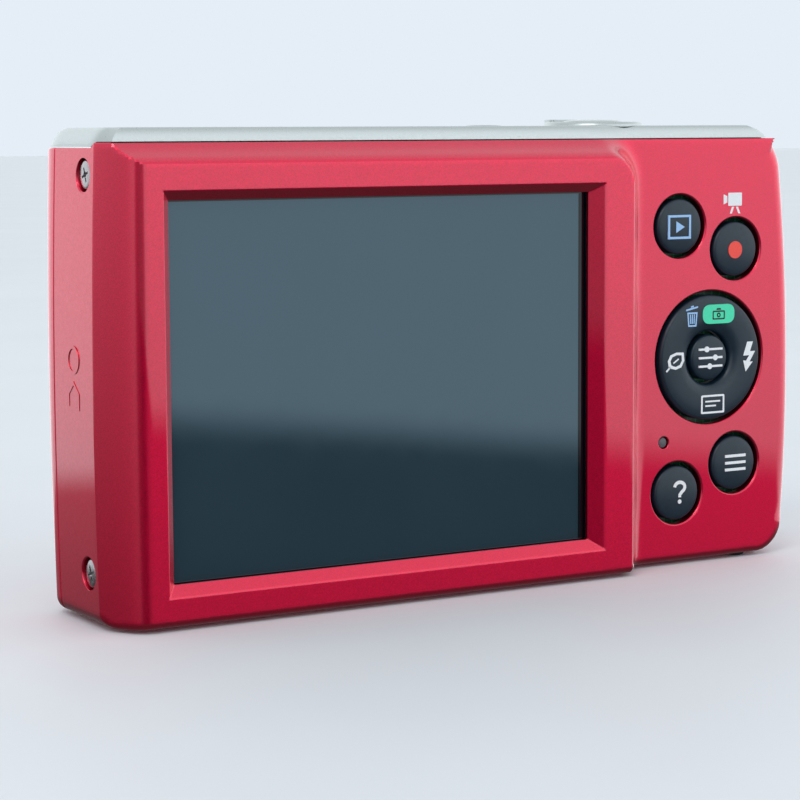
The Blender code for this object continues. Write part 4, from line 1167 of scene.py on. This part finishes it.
def top_controls():
    profile = [(0.0, 50.4), (1.2, 50.4), (1.2, 53.2), (3.62, 53.2), (3.62, 54.1)]
    profile += turn(3.62, 54.1, -0.32, 0.32, 6, 84.0)
    profile += [(2.6, 54.5), (1.6, 54.57), (0.0, 54.6)]
    piece("shutter_button_cap", lathe(profile, "Z", SHUTTER), "silver_cover", "shutter_button",
          ["shutter_button"])

    ring = soften([(3.9, 50.9), (4.35, 50.9), (4.35, 53.3), (6.0, 53.3), (6.1, 53.9), (5.8, 54.27),
                   (4.3, 54.27), (3.9, 53.9)], 0.25)
    lever = piece("zoom_lever_ring", lathe(ring, "Z", SHUTTER), "silver_cover", "zoom_lever",
                  ["zoom_lever"])
    x, y = SHUTTER
    tab = [(x + 2.7, y - 4.9), (x - 2.7, y - 4.9), (x - 2.35, y - 7.3), (x - 1.5, y - 8.1),
           (x + 1.5, y - 8.1), (x + 2.35, y - 7.3)]
    join(lever, prism(soften(tab, 0.7), "Z", 53.95, 54.58))
    round_edges(lever, 0.18, 4)

    profile = [(0.0, 50.1), (0.9, 50.1), (0.9, 52.7), (2.22, 52.7), (2.22, 53.72), (2.12, 53.85),
               (1.95, 53.92), (1.2, 53.88), (0.0, 53.86)]
    piece("power_button_cap", lathe(profile, "Z", POWER, 64), "silver_cover", "power_button",
          ["power_button"])
    sign = bmesh.new()
    outer = [(POWER[0] + a, POWER[1] + b) for a, b in stroke(arc(0.0, 0.0, 0.8, 125.0, 415.0, 24), 0.2)]
    prism(outer, "Z", 53.7, 53.905, sign)
    prism(rectangle((POWER[0] - 0.1, POWER[0] + 0.1), (POWER[1] + 0.35, POWER[1] + 1.15)), "Z", 53.7,
          53.905, sign)
    piece("power_mark", sign, "silver_cover", "power_button", material=LAMP_LENS)


# ---- screws, sides and base ----

def screw(name, axis, centre, face, direction, shank, radius):
    """Machine screw: domed rim, cross recess and a ridged shank."""
    inner = face + 0.75 * direction
    profile = [(0.0, face), (radius - 0.37, face), (radius - 0.12, face + 0.06 * direction),
               (radius, face + 0.22 * direction), (radius, inner), (0.58, inner)]
    turns = 9
    start = face + 0.95 * direction
    pitch = (shank - 1.3) / turns
    for k in range(turns):
        along = start + pitch * k * direction
        profile += [(0.58, along), (0.46, along + pitch * 0.5 * direction)]
    tip = face + shank * direction
    profile += [(0.58, tip - 0.2 * direction), (0.3, tip), (0.0, tip)]
    obj = piece(name + "_detail", lathe(profile, axis, centre, 48), "bright_steel", replaces=[name])
    for turn in (0.0, 90.0):
        angle = math.radians(turn + 20.0)
        cos_angle, sin_angle = math.cos(angle), math.sin(angle)
        blade = [(-0.82, -0.13), (0.82, -0.13), (0.82, 0.13), (-0.82, 0.13)]
        outline = [(centre[0] + a * cos_angle - b * sin_angle, centre[1] + a * sin_angle + b * cos_angle)
                   for a, b in blade]
        ends = sorted((face - 0.3 * direction, face + 0.42 * direction))
        cut(obj, prism(outline, axis, *ends))
    cone = [(0.0, face - 0.3 * direction), (0.42, face - 0.3 * direction), (0.36, face),
            (0.1, face + 0.55 * direction), (0.0, face + 0.55 * direction)]
    cut(obj, lathe(cone, axis, centre, 24))


def tripod_socket():
    """Brass insert with thread rings."""
    profile = [(4.0, 0.75), (4.0, 5.6), (3.2, 5.6)]
    turns = 11
    pitch = (5.3 - 1.15) / turns
    for k in range(turns, -1, -1):
        z = 1.15 + pitch * k
        profile += [(3.2, z), (3.0, z - pitch * 0.5)]
    profile += [(3.25, 0.75)]
    piece("tripod_insert", lathe(profile, "Z", TRIPOD), "brass", replaces=["tripod_socket"])


def terminal_cover():
    """Soft flap that follows the grip side, with a finger notch line."""
    rows = []
    steps = 16
    for k in range(steps + 1):
        z = TERMINAL_Z[0] + (TERMINAL_Z[1] - TERMINAL_Z[0]) * k / steps
        outer = -right_side(z)
        section = [(outer + 0.95, TERMINAL_Y[1]), (outer + 0.1, TERMINAL_Y[1]),
                   (outer, TERMINAL_Y[1] - 0.1), (outer, TERMINAL_Y[0])]
        for i in range(1, 12):
            angle = math.radians(180.0 * i / 12)
            section.append((outer + 0.475 * (1.0 - math.cos(angle)),
                            TERMINAL_Y[0] - 0.475 * math.sin(angle)))
        section.append((outer + 0.95, TERMINAL_Y[0]))
        rows.append([(x, y, z) for x, y in section])
    flap = piece("terminal_flap", skin(rows), "black_plastic", "terminal_cover", ["terminal_cover"],
                 RUBBER)
    middle = (TERMINAL_Z[0] + TERMINAL_Z[1]) / 2.0
    outer = -right_side(middle)
    notch = soften(rectangle((1.9, 2.5), (middle - 1.6, middle + 1.6)), 0.25)
    cut(flap, prism(notch, "X", outer - 1.0, outer + 0.2))
    round_edges(flap, 0.08, 2)


def feet():
    """Low rubber feet."""
    for number, (x, y) in enumerate(FEET, 1):
        profile = [(0.0, 0.0), (0.7, 0.0), (1.0, 0.12), (1.15, 0.35), (1.15, 0.8), (0.0, 0.8)]
        piece(f"foot_{number}", lathe(profile, "Z", (x, y), 40), "black_plastic", material=RUBBER)


def strap_bar():
    profile = [(0.0, 10.3), (0.75, 10.3), (0.75, 10.55), (0.52, 10.9), (0.46, 12.9), (0.52, 14.9),
               (0.75, 15.25), (0.75, 15.5), (0.0, 15.5)]
    piece("strap_bar_detail", lathe(profile, "Z", STRAP_POST, 40), "bright_steel",
          replaces=["strap_bar"])


# ---- lens and front ----

def lens_ring():
    """Turned ring round the lens with two fine steps."""
    profile = [(17.2, FRONT_FACE_Y - 0.1), (17.2, -10.4), (17.35, -10.75), (17.7, LENS_RING_Y + 0.05),
               (18.0, LENS_RING_Y), (18.6, LENS_RING_Y), (18.75, LENS_RING_Y + 0.16),
               (18.95, LENS_RING_Y + 0.16), (19.1, LENS_RING_Y), (19.6, LENS_RING_Y),
               (20.1, LENS_RING_Y + 0.12), (20.6, -10.5), (20.9, -10.0), (21.05, -9.5),
               (21.15, -9.1), (21.2, FRONT_FACE_Y - 0.1)]
    piece("lens_ring_detail", lathe(profile, "Y", (LENS_X, LENS_Z), 160), "silver_cover",
          replaces=["lens_ring"])


def barrel(name, outer, inner, front, back, body):
    """Turned barrel with a rolled front edge and fine grooves round its side."""
    profile = [(inner, back), (outer, back)]
    grooves = 5
    for k in range(grooves):
        y = back - 1.5 - 1.6 * k
        profile += [(outer, y + 0.16), (outer - 0.09, y + 0.08), (outer - 0.09, y - 0.08),
                    (outer, y - 0.16)]
    profile += [(outer, front + 0.4), (outer - 0.12, front + 0.12), (outer - 0.4, front),
                (inner + 0.15, front), (inner - 0.05, front + 0.15), (inner - 0.05, front + 0.8),
                (inner, front + 0.8)]
    piece(name + "_detail", lathe(profile, "Y", (LENS_X, LENS_Z), 144), "barrel_metal", body, [name])


def lens_face():
    """Stepped black face round the lens barrier."""
    front = -9.9
    levels = [(front + 0.7, 11.4), (front + 0.05, 11.4), (front, 11.3), (front, 10.2),
              (front + 0.12, 10.05), (front + 0.12, 9.0), (front + 0.24, 8.85), (front + 0.24, 7.6)]
    rows = [[(a, y, b) for a, b in circle(LENS_X, LENS_Z, radius)] for y, radius in levels]
    opening = []
    for a, b in circle(0.0, 0.0, 1.0):
        power = (abs(a / 6.0) ** 5 + abs(b / 4.1) ** 5) ** (-1.0 / 5.0)
        opening.append((a * power, b * power))
    for y, grow in ((front + 0.3, 1.02), (front + 0.4, 1.0), (front + 0.7, 1.0)):
        rows.append([(LENS_X + a * grow, y, LENS_Z + b * grow) for a, b in opening])
    piece("lens_face_detail", loft(rows), "black_plastic", "inner_barrel", ["lens_face_ring"])
    blade = soften([(6.6, 0.06), (6.6, 3.1), (5.6, 4.5), (-5.6, 4.5), (-6.6, 3.1), (-6.6, 0.06)], 0.1)
    for name, sign in (("barrier_blade_upper", 1.0), ("barrier_blade_lower", -1.0)):
        outline = [(LENS_X + a, LENS_Z + sign * b) for a, b in blade]
        made = piece(name + "_detail", prism(outline, "Y", -8.85, -8.4), "black_plastic", name, [name])
        round_edges(made, 0.06, 2)


def front_lens():
    """Domed front element."""
    front = [(7.0 * math.sin(math.radians(a)), -5.4 - 2.4 * math.cos(math.radians(a)))
             for a in range(0, 70, 4)]
    rear = [(7.0, -5.2), (7.0, -4.4)] + [(6.4 - 0.8 * k, -4.45 - 0.07 * k) for k in range(8)]
    profile = [(0.0, front[0][1])] + front[1:] + rear + [(0.0, -5.0)]
    piece("front_lens_detail", lathe(profile, "Y", (LENS_X, LENS_Z)), "clear_glass", "inner_barrel",
          ["front_lens"], LENS_GLASS)


def flash():
    """Ribbed flash window with its reflector left as it is behind."""
    low_x, high_x = FLASH_OPENING[0]
    low_z, high_z = FLASH_OPENING[1]
    outline = soften(rectangle((low_x + 0.12, high_x - 0.12), (low_z + 0.12, high_z - 0.12)), 1.3, 8)
    window = piece("flash_window_detail", prism(outline, "Y", -8.55, -7.3), "clear_glass",
                   replaces=["flash_window"])
    grooves = bmesh.new()
    count = 15
    for k in range(count):
        x = low_x + 1.6 + (high_x - low_x - 3.2) * k / (count - 1)
        prism([(x - 0.25, -7.0), (x + 0.25, -7.0), (x, -7.55)], "Z", low_z - 1.0, high_z + 1.0, grooves)
    cut(window, grooves)
    round_edges(window, 0.12, 3)
    profile = [(0.0, -8.78), (0.6, -8.76), (1.1, -8.68), (1.5, -8.52), (1.7, -8.3), (1.7, -7.0),
               (0.0, -7.0)]
    piece("focus_lamp_detail", lathe(profile, "Y", FOCUS_LAMP, 64), "clear_glass",
          replaces=["focus_lamp"])


# ---- pieces inside ----

def inside():
    """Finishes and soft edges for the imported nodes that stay."""
    replaced = {name for obj in bpy.data.objects for name in obj.get("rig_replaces", [])}
    for part in frame["record"]["subparts"]:
        if part["node"] in replaced:
            continue
        obj = frame["nodes"][part["node"]]
        obj.data.materials.clear()
        obj.data.materials.append(FINISHES[part["material_slot"]])
        obj.data.shade_smooth()
        obj.data.set_sharp_from_angle(angle=math.radians(32.0))


# ---- room, light and camera ----

def floor():
    """Plain pale floor under the camera's feet."""
    mesh = bpy.data.meshes.new("floor")
    reach = 6.0
    mesh.from_pydata([(-reach, -reach, 0.0), (reach, -reach, 0.0), (reach, reach, 0.0),
                      (-reach, reach, 0.0)], [], [(0, 1, 2, 3)])
    obj = bpy.data.objects.new("floor", mesh)
    bpy.context.scene.collection.objects.link(obj)
    made = Finish("floor", (0.78, 0.8, 0.83), 0.6)
    made.mottle(made.noise(12.0), 0.01)
    made.uneven(made.noise(30.0), 0.1)
    mesh.materials.append(made.material)
    obj.visible_glossy = False


def studio():
    """Soft surround: bright above a low horizon, dark below it, dim overhead and in two sectors."""
    world = bpy.data.worlds.new("studio")
    bpy.context.scene.world = world
    world.use_nodes = True
    tree = world.node_tree

    def node(kind, inputs, output, **settings):
        return add_node(tree, kind, inputs, output, **settings)

    direction = node("ShaderNodeTexCoord", {}, "Generated")

    def along(vector):
        return node("ShaderNodeVectorMath", {0: direction, 1: vector}, "Value", operation="DOT_PRODUCT")

    def ramp(source, low, high, first, last):
        limits = {"Value": source, "From Min": low, "From Max": high, "To Min": first, "To Max": last}
        return node("ShaderNodeMapRange", limits, "Result", interpolation_type="SMOOTHSTEP")

    def sector(limits, first, last):
        """Blend from first to last inside a sector: its bearing and its inner and outer half angles."""
        bearing, inner, outer = map(math.radians, limits)
        towards = along((math.sin(bearing), math.cos(bearing), 0.0))
        return ramp(towards, math.cos(outer), math.cos(inner), first, last)

    def product(first, second):
        return node("ShaderNodeMath", {0: first, 1: second}, "Value", operation="MULTIPLY")

    height = along(HORIZON_TILT)
    near = ramp(height, HORIZON - HORIZON_EDGE, HORIZON + HORIZON_EDGE, DARK_BELOW, 1.0)
    far = ramp(height, HORIZON - SOFT_HORIZON, HORIZON + SOFT_HORIZON, DARK_BELOW, 1.0)
    strength = node("ShaderNodeMix", {0: sector(SOFT_SECTOR, 0.0, 1.0), 2: near, 3: far}, 0,
                    data_type="FLOAT")
    for factor in (sector(DIM_SECTOR, 1.0, DIM_LEVEL), sector(SIDE_SECTOR, 1.0, SIDE_LEVEL),
                   ramp(height, *OVERHEAD, 1.0, OVERHEAD_LEVEL), BRIGHTNESS):
        strength = product(strength, factor)
    light = node("ShaderNodeBackground", {"Color": (0.9, 0.96, 1.0, 1.0), "Strength": strength},
                 "Background")
    backdrop = node("ShaderNodeBackground", {"Color": (0.8, 0.87, 0.95, 1.0), "Strength": 0.98},
                    "Background")
    seen = node("ShaderNodeLightPath", {}, "Is Camera Ray")
    surface = node("ShaderNodeMixShader", {"Fac": seen, 1: light, 2: backdrop}, "Shader")
    tree.links.new(surface, tree.nodes["World Output"].inputs["Surface"])


def lamp(name, azimuth, elevation, distance, size, power):
    """Square soft light aimed at the middle of the camera; angles in degrees, sizes in metres."""
    data = bpy.data.lights.new(name, "AREA")
    data.shape = "RECTANGLE"
    data.size, data.size_y = size
    data.energy = power
    obj = bpy.data.objects.new(name, data)
    a, e = math.radians(azimuth), math.radians(elevation)
    back = Vector((math.sin(a) * math.cos(e), math.cos(a) * math.cos(e), math.sin(e)))
    obj.location = Vector((0.0, 0.0, 0.026)) + back * distance
    obj.rotation_mode = "QUATERNION"
    obj.rotation_quaternion = back.to_track_quat("Z", "Y")
    obj.visible_camera = False
    bpy.context.scene.collection.objects.link(obj)


def camera():
    """The viewpoint: a normal lens a little above the object, turned to its left rear corner."""
    data = bpy.data.cameras.new("camera")
    data.sensor_width = 36.0
    data.lens = EYE_LENS
    data.clip_start = 0.01
    data.clip_end = 50.0
    obj = bpy.data.objects.new("camera", data)
    back = Vector(EYE_BACK).normalized()
    bearing = math.radians(EYE_BEARING)
    tilt = math.radians(EYE_ROLL)
    level = Vector((-math.cos(bearing), math.sin(bearing), 0.0))
    upright = back.cross(level)
    right = level * math.cos(tilt) + upright * math.sin(tilt)
    up = upright * math.cos(tilt) - level * math.sin(tilt)
    obj.matrix_world = Matrix([(*right, 0.0), (*up, 0.0), (*back, 0.0), (*EYE, 1.0)]).transposed()
    bpy.context.scene.collection.objects.link(obj)
    bpy.context.scene.camera = obj


def build():
    camera()
    floor()
    studio()
    lamp("key", 50.0, 50.0, 0.9, (0.35, 0.35), 1.3)
    bpy.context.scene.view_settings.view_transform = "Standard"
    rear_cover()
    front_cover()
    top_cover()
    battery_door()
    display()
    for name, spot in (("playback_button", PLAYBACK), ("movie_button", MOVIE),
                       ("help_button", HELP), ("menu_button", MENU)):
        panel_button(name, spot, name)
    direction_pad()
    status_lamp()
    printed_marks()
    side_sign()
    top_controls()
    for name, spot, face in zip(("side_screw_upper", "side_screw_lower"), SIDE_SCREWS, SIDE_SCREW_FACES):
        screw(name, "X", spot, face, -1.0, 4.4, SIDE_SCREW_RADIUS)
    screw("base_screw", "Z", BASE_SCREW, 0.75, 1.0, 4.0, BASE_SCREW_RADIUS)
    tripod_socket()
    terminal_cover()
    feet()
    strap_bar()
    lens_ring()
    barrel("outer_barrel", 16.6, 15.2, -10.5, 1.6, "outer_barrel")
    barrel("middle_barrel", 14.8, 13.5, -10.3, 1.0, "middle_barrel")
    barrel("inner_barrel", 13.0, 11.8, -10.0, 0.4, "inner_barrel")
    lens_face()
    front_lens()
    flash()
    inside()


build()
